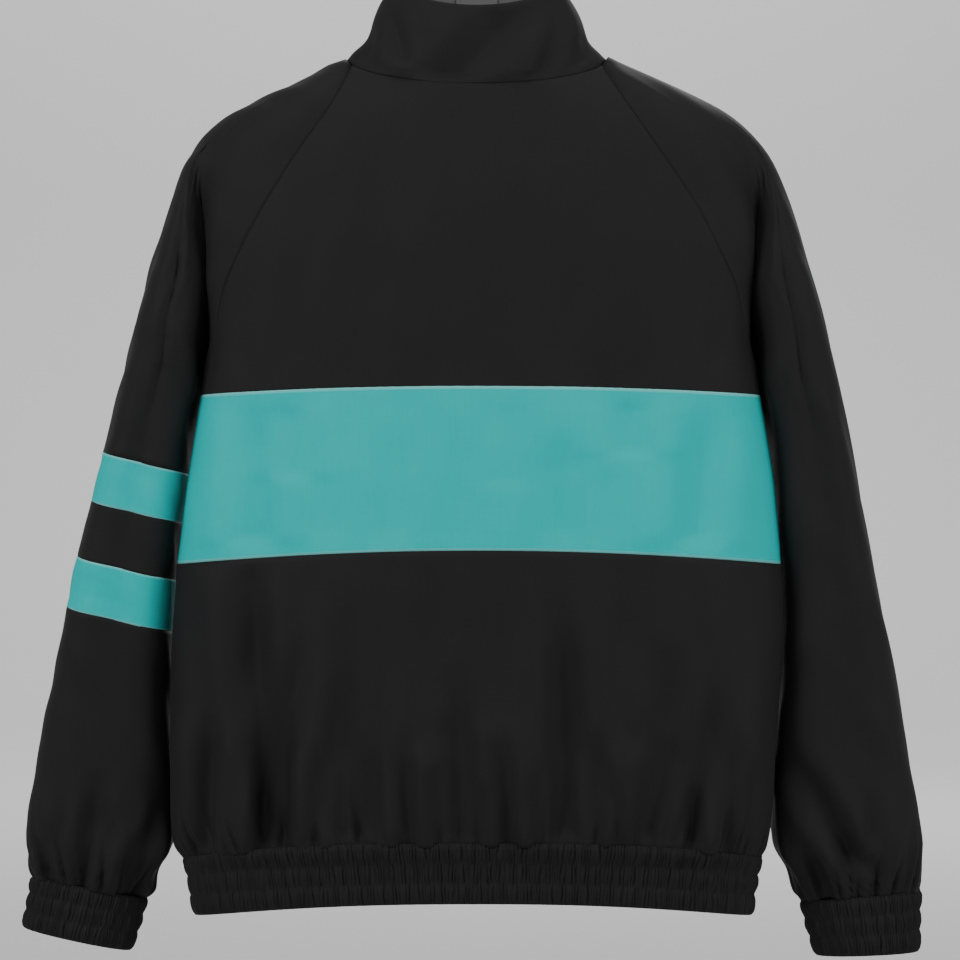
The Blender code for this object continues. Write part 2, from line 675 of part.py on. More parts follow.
def tube_section(row, count, gathers=0.0, phase=0.0, ribs=0, rib_high=0.0):
    """Closed section of a sleeve, from its underarm seam round the back to it again."""
    out_x, out_z, in_x, in_z, middle, depth = row
    cx, cz = (out_x + in_x) / 2, (out_z + in_z) / 2
    half_x, half_z = (out_x - in_x) / 2, (out_z - in_z) / 2
    power = 2 / TUBE_ROUNDNESS
    points = []
    for angle in np.linspace(math.pi, -math.pi, count):
        c, s = math.cos(angle), math.sin(angle)
        wide = math.copysign(abs(c) ** power, c)
        deep = math.copysign(abs(s) ** power, s)
        swell = gathers * math.sin(SLEEVE_GATHERS * angle + phase) * (0.35 + 0.65 * abs(s))
        swell += rib_high * math.cos(ribs * angle)
        reach = 1 + swell / GATHER_SIZE
        points.append(np.array([cx + half_x * wide * reach, middle - depth * deep * reach,
                                cz + half_z * wide * reach]))
    return points


def tube_rows(side):
    sign = -1 if side == "left" else 1
    return [(sign * r[0], r[1], sign * r[2], r[3], r[4], r[5]) for r in TUBE[side]]


def upper_sleeve_rows(side):
    """Rows of the open part of a sleeve, each from the back seam to the front seam."""
    rows = []
    for station in range(UNDERARM + 1):
        halves = []
        for facing in (1, -1):
            low, high = SHOULDER_SPLIT
            part = low + (high - low) * min(station / CREASE_FIRST, 1.0)
            path = split_path(shoulder_section(side, station, facing), part)
            if station >= CREASE_FIRST:
                body, tube = crease_section(side, station, facing)
                folded = np.vstack((resample(body, BODY_PART), resample(tube, TUBE_PART)[1:]))
                ease = CREASE_START[min(station - CREASE_FIRST, len(CREASE_START) - 1)]
                path = path + (folded - path) * ease
            halves.append(path)
        rows.append(np.vstack((halves[0], halves[1][::-1][1:])))
    return rows


def sleeve_gathers(index, count):
    """Height of the gathers at a section: they grow over the last sections."""
    step = index - (count - len(GATHER_GROWTH))
    return GATHER_HIGH * GATHER_GROWTH[step] if step >= 0 else 0.0


def sleeve_mesh(rows, tubes):
    """Sheet of a sleeve: open rows with free seams, then closed rows that share one seam."""
    bm = bmesh.new()
    verts = [[bm.verts.new(p) for p in row] for row in rows]
    for upper, lower in zip(verts, verts[1:]):
        for i in range(len(upper) - 1):
            bm.faces.new((upper[i], upper[i + 1], lower[i + 1], lower[i]))
    previous = verts[-1][BODY_PART - 1:len(rows[0]) - BODY_PART + 1] if rows else None
    for ring in tubes:
        loop = [bm.verts.new(p) for p in ring[:-1]]
        loop.append(loop[0])
        if previous:
            for i in range(len(loop) - 1):
                bm.faces.new((previous[i], previous[i + 1], loop[i + 1], loop[i]))
        previous = loop
    return bm


def sleeves():
    count = 2 * TUBE_PART - 1
    for side in ("left", "right"):
        table = tube_rows(side)
        tubes = [tube_section(row, count, sleeve_gathers(i, len(table)), 0.7 * i)
                 for i, row in enumerate(table)]
        open_rows = upper_sleeve_rows(side)
        if side in STRIPES:
            a, b, c, d = STRIPES[side]
            parts = (("upper", open_rows, 0, a, BLACK), ("stripe_1", (), a, b, TEAL),
                     ("between", (), b, c, BLACK), ("stripe_2", (), c, d, TEAL),
                     ("lower", (), d, len(tubes) - 1, BLACK))
            for name, top, first, last, colour in parts:
                bm = sleeve_mesh(top, tubes[first:last + 1])
                sheet("sleeve_%s_%s" % (side, name), bm, colour, outward=tube_middle(bm))
        else:
            bm = sleeve_mesh(open_rows, tubes)
            sheet("sleeve_" + side, bm, BLACK, outward=tube_middle(bm))


def tube_middle(bm):
    """A point inside the sleeve, level with the largest face of the sheet."""
    face = max(bm.faces, key=lambda f: f.calc_area())
    height = face.calc_center_median().z
    near = [v.co for v in bm.verts if abs(v.co.z - height) < 30]
    return sum(near[1:], near[0].copy()) / len(near)


# ---------------------------------------------------------------- elastic hem and cuffs
def walled(name, outer, inner, closed, colour):
    """Closed wall from rows of outer points and rows of plain inner points, top to bottom."""
    bm = bmesh.new()
    rows = list(outer) + list(inner)[::-1]
    loops = [[bm.verts.new(p) for p in row] for row in rows]
    count = len(loops[0])
    spans = count if closed else count - 1
    for k in range(len(loops)):
        a, b = loops[k], loops[(k + 1) % len(loops)]
        for i in range(spans):
            j = (i + 1) % count
            bm.faces.new((a[i], a[j], b[j], b[i]))
    if not closed:
        for i, flip in ((0, 1), (-1, -1)):
            out = [loop[i] for loop in loops[:len(outer)]]
            back = [loop[i] for loop in loops[len(outer):]][::-1]
            for k in range(len(back) - 1):
                near, mid, far = out[2 * k:2 * k + 3]
                bm.faces.new((back[k], near, mid)[::flip])
                bm.faces.new((back[k], mid, back[k + 1])[::flip])
                bm.faces.new((back[k + 1], mid, far)[::flip])
    closed_body(name, bm, colour)


def closed_body(name, bm, colour):
    """Finishes a closed mesh, with its faces pointing out."""
    bmesh.ops.triangulate(bm, faces=bm.faces)
    bmesh.ops.recalc_face_normals(bm, faces=bm.faces)
    if bm.calc_volume(signed=True) < 0:
        bmesh.ops.reverse_faces(bm, faces=bm.faces)
    bmesh.ops.scale(bm, vec=(MM, MM, MM), verts=bm.verts)
    new_piece(name, bm, colour)


def channel_swell(share):
    """Outward swell of the cloth over each channel of elastic, none at its stitch rows."""
    return CHANNEL_HIGH * abs(math.sin(math.pi * CHANNELS * share)) ** 0.8


def middle_angle(x):
    """Angle on the hem's section, from the middle of the front, at this distance from it."""
    return (x / HEM_FRONT_HALF) ** (BODY_ROUNDNESS / 2)


def hem_row(share, half):
    """Evenly spaced points of the hem band at this share of its height, and the ways out."""
    seam = between(HEM_TOP, HEM_BOTTOM, share)
    angles = np.linspace(half - math.pi / 2, math.pi * 1.5 - half, 40 * HEM_RIBS)
    row = resample([cross_point(seam, angle) for angle in angles], HEM_RIBS * 2 + 1)
    row[:, 2] -= SEAM_GAP if share == 0 else 0.0
    out = row * (0.3, 1.0, 0.0)
    return row, out / np.linalg.norm(out, axis=1)[:, None]


def hem():
    levels = np.linspace(0, 1, CHANNELS * ROWS_PER_CHANNEL + 1)
    half = middle_angle(ZIP_HALF)
    ribs = RIB_HIGH * (np.arange(HEM_RIBS * 2 + 1) % 2)
    outer, inner = [], []
    for i, share in enumerate(levels):
        row, out = hem_row(share, half)
        lift = ribs + channel_swell(share) if 0 < share < 1 else np.full(len(ribs), HEM_RIM)
        outer.append(row + out * lift[:, None])
        if i % ROWS_PER_CHANNEL == 0:
            inner.append(row - out * WALL)
    walled("hem_band", outer, inner, False, BLACK)


def cuffs():
    levels = np.linspace(0, 1, CHANNELS * ROWS_PER_CHANNEL + 1)
    count = CUFF_RIBS * 2 + 1
    for side in ("left", "right"):
        sign = -1 if side == "left" else 1
        top, bottom = [(sign * r[0], r[1], sign * r[2], r[3], r[4], r[5]) for r in CUFF[side]]
        outer, inner = [], []
        for share in levels:
            row = between(top, bottom, share)
            lift = channel_swell(share) if 0 < share < 1 else 0.0
            ribs = RIB_HIGH / 2 if 0 < share < 1 else 0.0
            ring = tube_section(grown(row, lift + ribs), count, 0, 0, CUFF_RIBS,
                                ribs * 2 * CUFF_RIB_SHARE)
            outer.append(ring[:-1])
        for share in (0.0, 1.0):
            ring = tube_section(grown(between(top, bottom, share), -WALL), count)
            inner.append(ring[:-1])
        walled("cuff_" + side, outer, inner, True, BLACK)


def grown(row, amount):
    """A sleeve section grown outwards by an amount."""
    out_x, out_z, in_x, in_z, middle, depth = row
    sign = math.copysign(1, out_x)
    return (out_x + sign * amount, out_z, in_x - sign * amount, in_z, middle, depth + amount)


# ---------------------------------------------------------------- collar
def collar_point(angle, share, inset=0.0):
    """Point of the collar; share runs from the neck seam, 0, to the rim, 1."""
    c, s = math.cos(angle), math.sin(angle)
    shares = column(COLLAR, COLLAR_COLUMNS, "share")
    half = smooth(shares, column(COLLAR, COLLAR_COLUMNS, "half_width"), share)
    lean = smooth(shares, column(COLLAR, COLLAR_COLUMNS, "lean"), share)
    base = neck(angle)
    rim_y = -s * (RIM_BACK if s > 0 else RIM_FRONT)
    rim_end = RIM_BACK_HEIGHT if s > 0 else RIM_FRONT_HEIGHT
    rim_z = RIM_SIDE_HEIGHT + (rim_end - RIM_SIDE_HEIGHT) * abs(s) ** 1.5
    y = base[1] + (rim_y - base[1]) * lean
    z = base[2] + (rim_z - base[2]) * share
    out = np.array([c * half / NECK_WIDE, y / NECK_BACK])
    out /= np.linalg.norm(out) + 1e-9
    return np.array([half * c - out[0] * inset, y - out[1] * inset, z])


def collar():
    shares = [COLLAR_FOOT] + [row[0] for row in COLLAR[1:]]
    rows = []
    for share in shares[::-1]:
        half = math.asin(ZIP_HALF / collar_point(0.0, share)[0])
        angles = np.linspace(-math.pi / 2 + half, 1.5 * math.pi - half, COLLAR_COUNT)
        rows.append([collar_point(a, share) for a in angles])
    panel("collar", rows, BLACK)
    # the facing lies on the collar's inner side and ends beside the zip tapes
    bm = bmesh.new()
    grid_faces(bm, rows)
    bm.normal_update()
    inset = WALL + SEAM_GAP + 0.15
    for v in bm.verts:
        v.co -= v.normal * inset
    near_zip = [v for v in bm.verts if v.co.y > 0 and abs(v.co.x) < TAPE_WIDE + 1.0]
    bmesh.ops.delete(bm, geom=near_zip, context="VERTS")
    sheet("collar_facing", bm, GREY, wall=FACING_WALL, gap=0.4, outward=(0, 0, 10))


# ---------------------------------------------------------------- zip
def front_line(rows, x):
    """Points down the closed front at this distance from the middle, from rim to hem."""
    line = []
    for share in np.linspace(0.985, 0.05, 6):
        half = collar_point(0.0, share)[0]
        line.append(collar_point(-math.acos(x / half), share))
    for row in rows:
        right = np.array([p for p in row if p[0] > -1.0])
        right = right[np.argsort(right[:, 0])]
        line.append([x, np.interp(x, right[:, 0], right[:, 1]),
                     np.interp(x, right[:, 0], right[:, 2])])
    for share in (0.05, 0.5, 0.99):
        seam = between(HEM_TOP, HEM_BOTTOM, share)
        line.append(cross_point(seam, middle_angle(x) - math.pi / 2))
    return np.array([np.array(p) for p in line])


def zip_pieces(rows):
    middle = front_line(rows, 0.0)
    teeth = front_line(rows, TEETH_WIDE / 2)
    edge = front_line(rows, TAPE_WIDE)
    ways = np.gradient(middle, axis=0)
    ways /= np.linalg.norm(ways, axis=1)[:, None]
    outs = np.array([(0.0, -w[2], w[1]) for w in ways])
    under = WALL + SEAM_GAP + 0.8
    for side, sign in (("left", -1), ("right", 1)):
        bm = bmesh.new()
        loops = []
        for m, t, e, out in zip(middle, teeth, edge, outs):
            path = ((m, 0.15, 0.0), (t, None, 0.0), (t, None, -under), (e, None, -under),
                    (e, None, -under - TAPE_WALL), (t, None, -under - TAPE_WALL),
                    (m, 0.15, -under - TAPE_WALL))
            points = [p + out * d for p, _, d in path]
            for (p, x, _), point in zip(path, points):
                point[0] = sign * (p[0] if x is None else x)
            loops.append([bm.verts.new(p) for p in points])
        for a, b in zip(loops, loops[1:]):
            for i in range(len(a)):
                j = (i + 1) % len(a)
                bm.faces.new((a[i], a[j], b[j], b[i]))
        bm.faces.new(loops[0])
        bm.faces.new(loops[-1][::-1])
        closed_body("zip_tape_" + side, bm, TAPE)
    slider_and_pull(middle[0] * 0.6 + middle[1] * 0.4, outs[1])


def block(name, size, colour=METAL, bevel=0.0):
    """Beveled block of hard metal round its own origin."""
    bm = bmesh.new()
    bmesh.ops.create_cube(bm, size=1.0)
    bmesh.ops.scale(bm, vec=size, verts=bm.verts)
    if bevel:
        bmesh.ops.bevel(bm, geom=bm.edges, offset=bevel, segments=1, affect="EDGES",
                        profile=0.5, material=-1)
    bmesh.ops.scale(bm, vec=(MM, MM, MM), verts=bm.verts)
    return new_piece(name, bm, colour, METALLIC)


def combine(piece, tool, operation):
    """Joins or cuts a piece with a tool that is then removed."""
    bpy.context.view_layer.update()
    change = piece.modifiers.new(operation.lower(), "BOOLEAN")
    change.operation = operation
    change.solver = "EXACT"
    change.object = tool
    graph = bpy.context.evaluated_depsgraph_get()
    mesh = bpy.data.meshes.new_from_object(piece.evaluated_get(graph))
    piece.modifiers.remove(change)
    piece.data = mesh
    bpy.data.objects.remove(tool)


def bridge_arch():
    """Arch over the slider that the pull's bar passes under; its axis is the origin."""
    leg = BRIDGE_AXIS + SLIDER_HIGH / 2
    arc = np.linspace(0, math.pi, 9)
    inner, outer = BRIDGE_INSIDE, BRIDGE_INSIDE + BRIDGE_WALL
    profile = [(outer, -leg)] + [(outer * math.cos(a), outer * math.sin(a)) for a in arc]
    profile += [(-outer, -leg), (-inner, -leg)]
    profile += [(-inner * math.cos(a), inner * math.sin(a)) for a in arc] + [(inner, -leg)]
    bm = bmesh.new()
    sides = [[bm.verts.new((x, up * MM, along * MM)) for along, up in profile]
             for x in (-BRIDGE_WIDE / 2 * MM, BRIDGE_WIDE / 2 * MM)]
    for i in range(len(profile)):
        j = (i + 1) % len(profile)
        bm.faces.new((sides[0][i], sides[0][j], sides[1][j], sides[1][i]))
    bm.faces.new(sides[0])
    bm.faces.new(sides[1])
    bmesh.ops.recalc_face_normals(bm, faces=bm.faces)
    return new_piece("bridge_arch", bm, METAL, METALLIC)


def slider_and_pull(top, out):
    """Slider at the top of the closed zip, and the pull tab that swings on its bridge."""
    tilt = math.atan2(out[2], out[1])
    centre = top + out * (SLIDER_HIGH / 2 + SEAM_GAP)
    axis = centre + out * (SLIDER_HIGH / 2 + BRIDGE_AXIS)
    slider = block("zip_slider", (SLIDER_WIDE, SLIDER_HIGH, SLIDER_LONG), bevel=0.6)
    arch = bridge_arch()
    arch.location.y = (SLIDER_HIGH / 2 + BRIDGE_AXIS) * MM
    combine(slider, arch, "UNION")
    slider.location = [c * MM for c in centre]
    slider.rotation_euler = (tilt, 0, 0)
    pull = block("zip_pull", (PULL_WIDE, PULL_WALL, PULL_LONG), bevel=0.3)
    hole = block("pull_hole", (BRIDGE_WIDE + 2 * PULL_CLEAR, PULL_WALL * 3, PULL_SLOT))
    hole.location.z = (PULL_LONG / 2 - PULL_BAR - PULL_SLOT / 2) * MM
    combine(pull, hole, "DIFFERENCE")
    pull.data.transform(Matrix.Translation((0, 0, (PULL_BAR / 2 - PULL_LONG / 2) * MM)))
    pull.location = [c * MM for c in axis]


# ---------------------------------------------------------------- build
back_panels()
FRONT_ROWS = front_panels()
sleeves()
hem()
cuffs()
collar()
make_walls()
zip_pieces(FRONT_ROWS)
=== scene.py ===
import math

import bmesh
import bpy
import numpy as np
from mathutils import Matrix, Vector
from mathutils.bvhtree import BVHTree
from mathutils.kdtree import KDTree


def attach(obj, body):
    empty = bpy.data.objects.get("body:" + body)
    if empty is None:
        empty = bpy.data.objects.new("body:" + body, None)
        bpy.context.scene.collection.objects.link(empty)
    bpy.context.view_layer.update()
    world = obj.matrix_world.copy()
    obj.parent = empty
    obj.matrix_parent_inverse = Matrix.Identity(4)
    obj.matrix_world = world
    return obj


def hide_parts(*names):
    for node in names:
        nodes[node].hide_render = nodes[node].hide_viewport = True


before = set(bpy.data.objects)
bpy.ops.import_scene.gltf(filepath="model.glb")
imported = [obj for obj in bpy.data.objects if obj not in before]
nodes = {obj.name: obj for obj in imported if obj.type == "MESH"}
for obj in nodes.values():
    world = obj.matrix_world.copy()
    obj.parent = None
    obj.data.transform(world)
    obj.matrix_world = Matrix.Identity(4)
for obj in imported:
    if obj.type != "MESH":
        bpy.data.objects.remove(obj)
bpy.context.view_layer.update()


# ---- studio -------------------------------------------------------------------------
# A pale floor that sweeps up into the backdrop behind the hanging garment, lit by wide
# soft panels.  The camera stands level with the middle of the back, four metres away.
SWEEP_HALF, SWEEP_BEND_AT, SWEEP_BEND, SWEEP_TOP, FLOOR_UNDER = 7.0, 6.4, 1.2, 7.0, 0.86
sweep = bmesh.new()
profile = [(-SWEEP_HALF, 0.0), (SWEEP_BEND_AT, 0.0)]
profile += [(SWEEP_BEND_AT + SWEEP_BEND * math.sin(a), SWEEP_BEND - SWEEP_BEND * math.cos(a))
            for a in np.linspace(0.1, 1.57, 14)]
profile += [(SWEEP_BEND_AT + SWEEP_BEND, SWEEP_TOP)]
line = [sweep.verts.new((-SWEEP_HALF, y, z - FLOOR_UNDER)) for y, z in profile]
edges = [sweep.edges.new(pair) for pair in zip(line, line[1:])]
wide = bmesh.ops.extrude_edge_only(sweep, edges=edges)["geom"]
bmesh.ops.translate(sweep, vec=(2 * SWEEP_HALF, 0.0, 0.0),
                    verts=[v for v in wide if isinstance(v, bmesh.types.BMVert)])
sweep_mesh = bpy.data.meshes.new("studio_sweep")
sweep.to_mesh(sweep_mesh)
sweep.free()
sweep_mesh.shade_smooth()
studio_sweep = bpy.data.objects.new("studio_sweep", sweep_mesh)
bpy.context.scene.collection.objects.link(studio_sweep)
paper = bpy.data.materials.new("backdrop_paper")
paper.use_nodes = True
paper.node_tree.nodes["Principled BSDF"].inputs["Base Color"].default_value = (0.62, 0.62, 0.62, 1)
paper.node_tree.nodes["Principled BSDF"].inputs["Roughness"].default_value = 0.9
sweep_mesh.materials.append(paper)

# name, place, what it is aimed at, its side in metres and its watts
for name, place, aim, size, power in (
        ("key_panel", (-2.9, -2.3, 1.5), (0.0, 0.0, -0.35), 1.5, 76),
        ("fill_panel", (3.0, -2.0, 0.8), (0.0, 0.0, -0.4), 1.6, 54),
        ("front_panel", (-0.9, -3.6, 1.3), (0.0, 0.0, -0.35), 1.4, 17),
        ("top_panel", (0.2, -0.2, 2.6), (0.0, 0.0, 0.0), 1.8, 24),
        ("far_panel", (0.8, 3.6, 1.6), (0.0, 0.0, -0.35), 1.6, 46),
        ("backdrop_panel", (0.0, 4.6, 3.6), (0.0, 7.6, 0.4), 2.6, 210)):
    lamp = bpy.data.lights.new(name, "AREA")
    lamp.size = size
    lamp.energy = power
    lamp_object = bpy.data.objects.new(name, lamp)
    lamp_object.location = place
    way = Vector(aim) - Vector(place)
    lamp_object.rotation_euler = way.to_track_quat("-Z", "Y").to_euler()
    bpy.context.scene.collection.objects.link(lamp_object)
sky = bpy.data.worlds.new("studio_air")
sky.use_nodes = True
sky.node_tree.nodes["Background"].inputs["Color"].default_value = (1, 1, 1, 1)
sky.node_tree.nodes["Background"].inputs["Strength"].default_value = 0.30
bpy.context.scene.world = sky

CAMERA_AWAY, VIEW_WIDE, SENSOR = 4.0, 0.7872, 36.0   # metres, and millimetres on the sensor
lens = bpy.data.cameras.new("camera")
lens.lens = SENSOR / VIEW_WIDE * CAMERA_AWAY
lens.sensor_width = SENSOR
lens.clip_end = 60
camera = bpy.data.objects.new("camera", lens)
camera.location = (0.0025, -CAMERA_AWAY, -0.347)
camera.rotation_euler = (math.radians(90), 0, 0)
bpy.context.scene.collection.objects.link(camera)
bpy.context.scene.camera = camera


# ---- upper back ---------------------------------------------------------------------
# The black yoke between the raglan seams, cut from one layer of dull woven polyester.
# Its cloth is pulled smooth by the shoulders, with faint pulls down from the neck.
class Wire:
    """A shader socket on which Python's operators make Math nodes."""
    def __init__(self, dye, socket):
        self.dye, self.socket = dye, socket

    def maths(self, operation, *values):
        return self.dye.node("ShaderNodeMath", {"operation": operation}, values)

    def __add__(self, other):
        return self.maths("ADD", self, other)

    def __sub__(self, other):
        return self.maths("SUBTRACT", self, other)

    def __rsub__(self, other):
        return self.maths("SUBTRACT", other, self)

    def __mul__(self, other):
        return self.maths("MULTIPLY", self, other)

    __radd__, __rmul__ = __add__, __mul__


class Dye:
    """The finish of one cloth or trim, built node by node."""
    def __init__(self, name, metallic=0.0, sheen=0.0, gloss=0.5):
        self.material = bpy.data.materials.new(name)
        self.material.use_nodes = True
        self.nodes, self.links = self.material.node_tree.nodes, self.material.node_tree.links
        self.shader = self.nodes["Principled BSDF"]
        self.shader.inputs["Metallic"].default_value = metallic
        self.shader.inputs["Sheen Weight"].default_value = sheen
        self.shader.inputs["Sheen Roughness"].default_value = 0.4
        self.shader.inputs["Specular IOR Level"].default_value = gloss

    def put(self, socket, value):
        """Links a wire to a socket, or sets the socket's own value."""
        if isinstance(value, Wire):
            self.links.new(value.socket, socket)
        else:
            socket.default_value = value

    def node(self, kind, settings=(), values=(), out=0):
        """A node with its settings, and with values or wires in its sockets."""
        made = self.nodes.new(kind)
        for key, value in dict(settings).items():
            setattr(made, key, value)
        for key, value in (values.items() if isinstance(values, dict) else enumerate(values)):
            self.put(made.inputs[key], value)
        return Wire(self, made.outputs[out])

    def place(self, scale):
        """Object coordinates, scaled along each axis."""
        here = self.node("ShaderNodeTexCoord", out=3)
        return self.node("ShaderNodeMapping", values={"Vector": here, "Scale": scale})

    def noise(self, scale, detail=2.0, stretch=(1, 1, 1)):
        return self.node("ShaderNodeTexNoise", {}, {"Vector": self.place(stretch),
                                                    "Scale": scale, "Detail": detail})

    def mix(self, share, first, second):
        return self.node("ShaderNodeMix", {"data_type": "RGBA"},
                         {0: share, 6: first, 7: second}, out=2)

    def finish(self, colour, roughness, height, distance, strength=1.0):
        """The material, with its relief of this height, distance and strength."""
        bump = self.node("ShaderNodeBump", values={"Height": height, "Distance": distance,
                                                   "Strength": strength})
        self.put(self.shader.inputs["Base Color"], colour)
        self.put(self.shader.inputs["Roughness"], roughness)
        self.put(self.shader.inputs["Normal"], bump)
        return self.material


# Painted highlight: the pale colour mixed into woven cloth along its seams, standing for light
# caught by the rolled seam.
PAINTED_HIGHLIGHT_COLOUR = (0.62, 0.80, 0.78, 1)


def woven(name, dark, light, rough, sheen, edge=0.0):
    """Plain-woven polyester: fine warp and weft, uneven threads and a faintly mottled dye.
    Along its seams the colour is painted paler by the share edge: a painted highlight for light
    caught by the rolled seam."""
    dye = Dye(name, sheen=sheen, gloss=0.08 if edge else 0.12)
    warp, weft = (dye.node("ShaderNodeTexWave", {"bands_direction": along},
                           {"Vector": dye.place((1, 1, 1)), "Scale": fine, "Distortion": 0.6,
                            "Detail Scale": 3.0}, out=1)
                  for along, fine in (("X", 310.0), ("Z", 330.0)))
    slub = dye.noise(420.0, 1.0, (1, 1, 0.08))
    mottle = dye.noise(16.0, 4.0)
    threads = warp * 0.5 + weft * 0.5
    share = mottle * 0.6 + slub * 0.25 + threads * 0.15
    colour = dye.mix(share, (*dark, 1), (*light, 1))
    if edge:
        # Painted highlight along the seams, mixed in by the share edge.
        painted_highlight = dye.node("ShaderNodeAttribute", {"attribute_name": "painted_highlight_mask"}, out=2)
        colour = dye.mix(painted_highlight * edge, colour, PAINTED_HIGHLIGHT_COLOUR)
    return dye.finish(colour, rough + (mottle - 0.5) * 0.12 + slub * 0.06,
                      threads * 0.5 + slub * 0.5, 0.00012, 0.5)


black_cloth = woven("black_cloth", (0.0100, 0.0100, 0.0104), (0.0185, 0.0185, 0.0190), 0.66, 0.02)


SHARP = 0.9              # radians past which a wall's edge turns to its cut side
THICKEST_WALL = 0.0021


def outer_skin(node):
    """The outer skin of a solid of cloth, merged and as squares, without its wall.  It is
    the largest run of faces that a flood finds without crossing the wall's cut sides."""
    bm = bmesh.new()
    bm.from_mesh(nodes[node].data)
    bmesh.ops.remove_doubles(bm, verts=bm.verts, dist=0.00002)
    bmesh.ops.join_triangles(bm, faces=bm.faces, angle_face_threshold=SHARP,
                             angle_shape_threshold=1.2)
    bm.normal_update()
    cut_sides = {face for face in bm.faces
                 if min(e.calc_length() for e in face.edges) < THICKEST_WALL}
    groups, seen = [], set()
    for face in bm.faces:
        if face in seen:
            continue
        group, todo = [], [face]
        seen.add(face)
        while todo:
            here = todo.pop()
            group.append(here)
            for edge in here.edges:
                turned = edge.is_manifold and edge.calc_face_angle() > SHARP
                for other in edge.link_faces:
                    stop = turned and (here in cut_sides or other in cut_sides)
                    if other not in seen and not stop:
                        seen.add(other)
                        todo.append(other)
        groups.append(group)
    kept = set(max(groups, key=lambda group: sum(face.calc_area() for face in group)))
    bmesh.ops.delete(bm, geom=[f for f in bm.faces if f not in kept], context="FACES")
    crease = bm.edges.layers.float.new("crease_edge")
    for edge in bm.edges:
        if edge.is_manifold:
            edge[crease] = min(max((edge.calc_face_angle() - 0.45) * 0.8, 0.0), 0.7)
    return bm


def ripple(co, parts):
    """Slow waves of the cloth: each part is height, wavelengths along x, y and z, and shift."""
    height = np.zeros(len(co))
    for high, along_x, along_y, along_z, shift in parts:
        phase = co[:, 0] / along_x + co[:, 1] / along_y + co[:, 2] / along_z
        height += high * np.sin(2 * math.pi * phase + shift)
    return height


RIDGE_HIGH, RIDGE_AT, RIDGE_WIDE = 0.42, 1.9, 0.9   # shares of a fold's depth and half width


def folds(co, rows):
    """Depth of listed folds.  Each has three places down it, a depth and a half width;
    soft ridges stand beside its trough, and it runs out at its top and eases at its foot."""
    height = np.zeros(len(co))
    x, z = co[:, 0] * 1000, co[:, 2] * 1000
    for top_x, top_z, mid_x, mid_z, low_x, low_z, deep, wide in rows:
        t = np.clip((top_z - z) / (top_z - low_z), -0.5, 1.5)
        m = (top_z - mid_z) / (top_z - low_z)
        line = (top_x * (t - m) * (t - 1) / m + mid_x * t * (t - 1) / (m * (m - 1))
                + low_x * t * (t - m) / (1 - m))
        d = (x - line) / wide
        fade = np.clip((t + 0.08) / 0.45, 0, 1) * np.clip((1.12 - t) / 0.2, 0, 1)
        fade = fade * fade * (3 - 2 * fade)
        ridge = RIDGE_HIGH * np.exp(-((np.abs(d) - RIDGE_AT) / RIDGE_WIDE) ** 2)
        height += fade * deep * (ridge - np.exp(-np.abs(d) ** 1.6))
    return height / 1000


def linked(name, mesh):
    """An object of a mesh, in the scene."""
    made = bpy.data.objects.new(name, mesh)
    bpy.context.scene.collection.objects.link(made)
    return made


def open_border(mesh):
    """The pairs of points on a cloth's open edges, and those points once each."""
    edge_use = np.zeros(len(mesh.edges), int)
    loop_edges = np.zeros(len(mesh.loops), int)
    mesh.loops.foreach_get("edge_index", loop_edges)
    np.add.at(edge_use, loop_edges, 1)
    ends = np.zeros(len(mesh.edges) * 2, int)
    mesh.edges.foreach_get("vertices", ends)
    rim = np.sort(ends.reshape(-1, 2)[edge_use == 1], axis=1)
    return set(map(tuple, rim.tolist())), np.unique(rim)


def outward_at_edges(mesh, co, open_edges):
    """Unit directions, in the cloth, that lead out over its open edges."""
    spread = np.zeros_like(co)
    for face in mesh.polygons:
        middle = np.array(face.center)
        for key in face.edge_keys:
            if key in open_edges:
                a, b = co[key[0]], co[key[1]]
                away = (a + b) / 2 - middle
                away -= (b - a) * (away @ (b - a)) / max((b - a) @ (b - a), 1e-14)
                spread[list(key)] += away / max(np.linalg.norm(away), 1e-9)
    return spread / np.maximum(np.linalg.norm(spread, axis=1), 1e-9)[:, None]


ROLL_WIDE, PAINTED_HIGHLIGHT_WIDE = 0.0010, 0.0011   # how far in from a seam the cloth rolls, and how far its painted highlight reaches


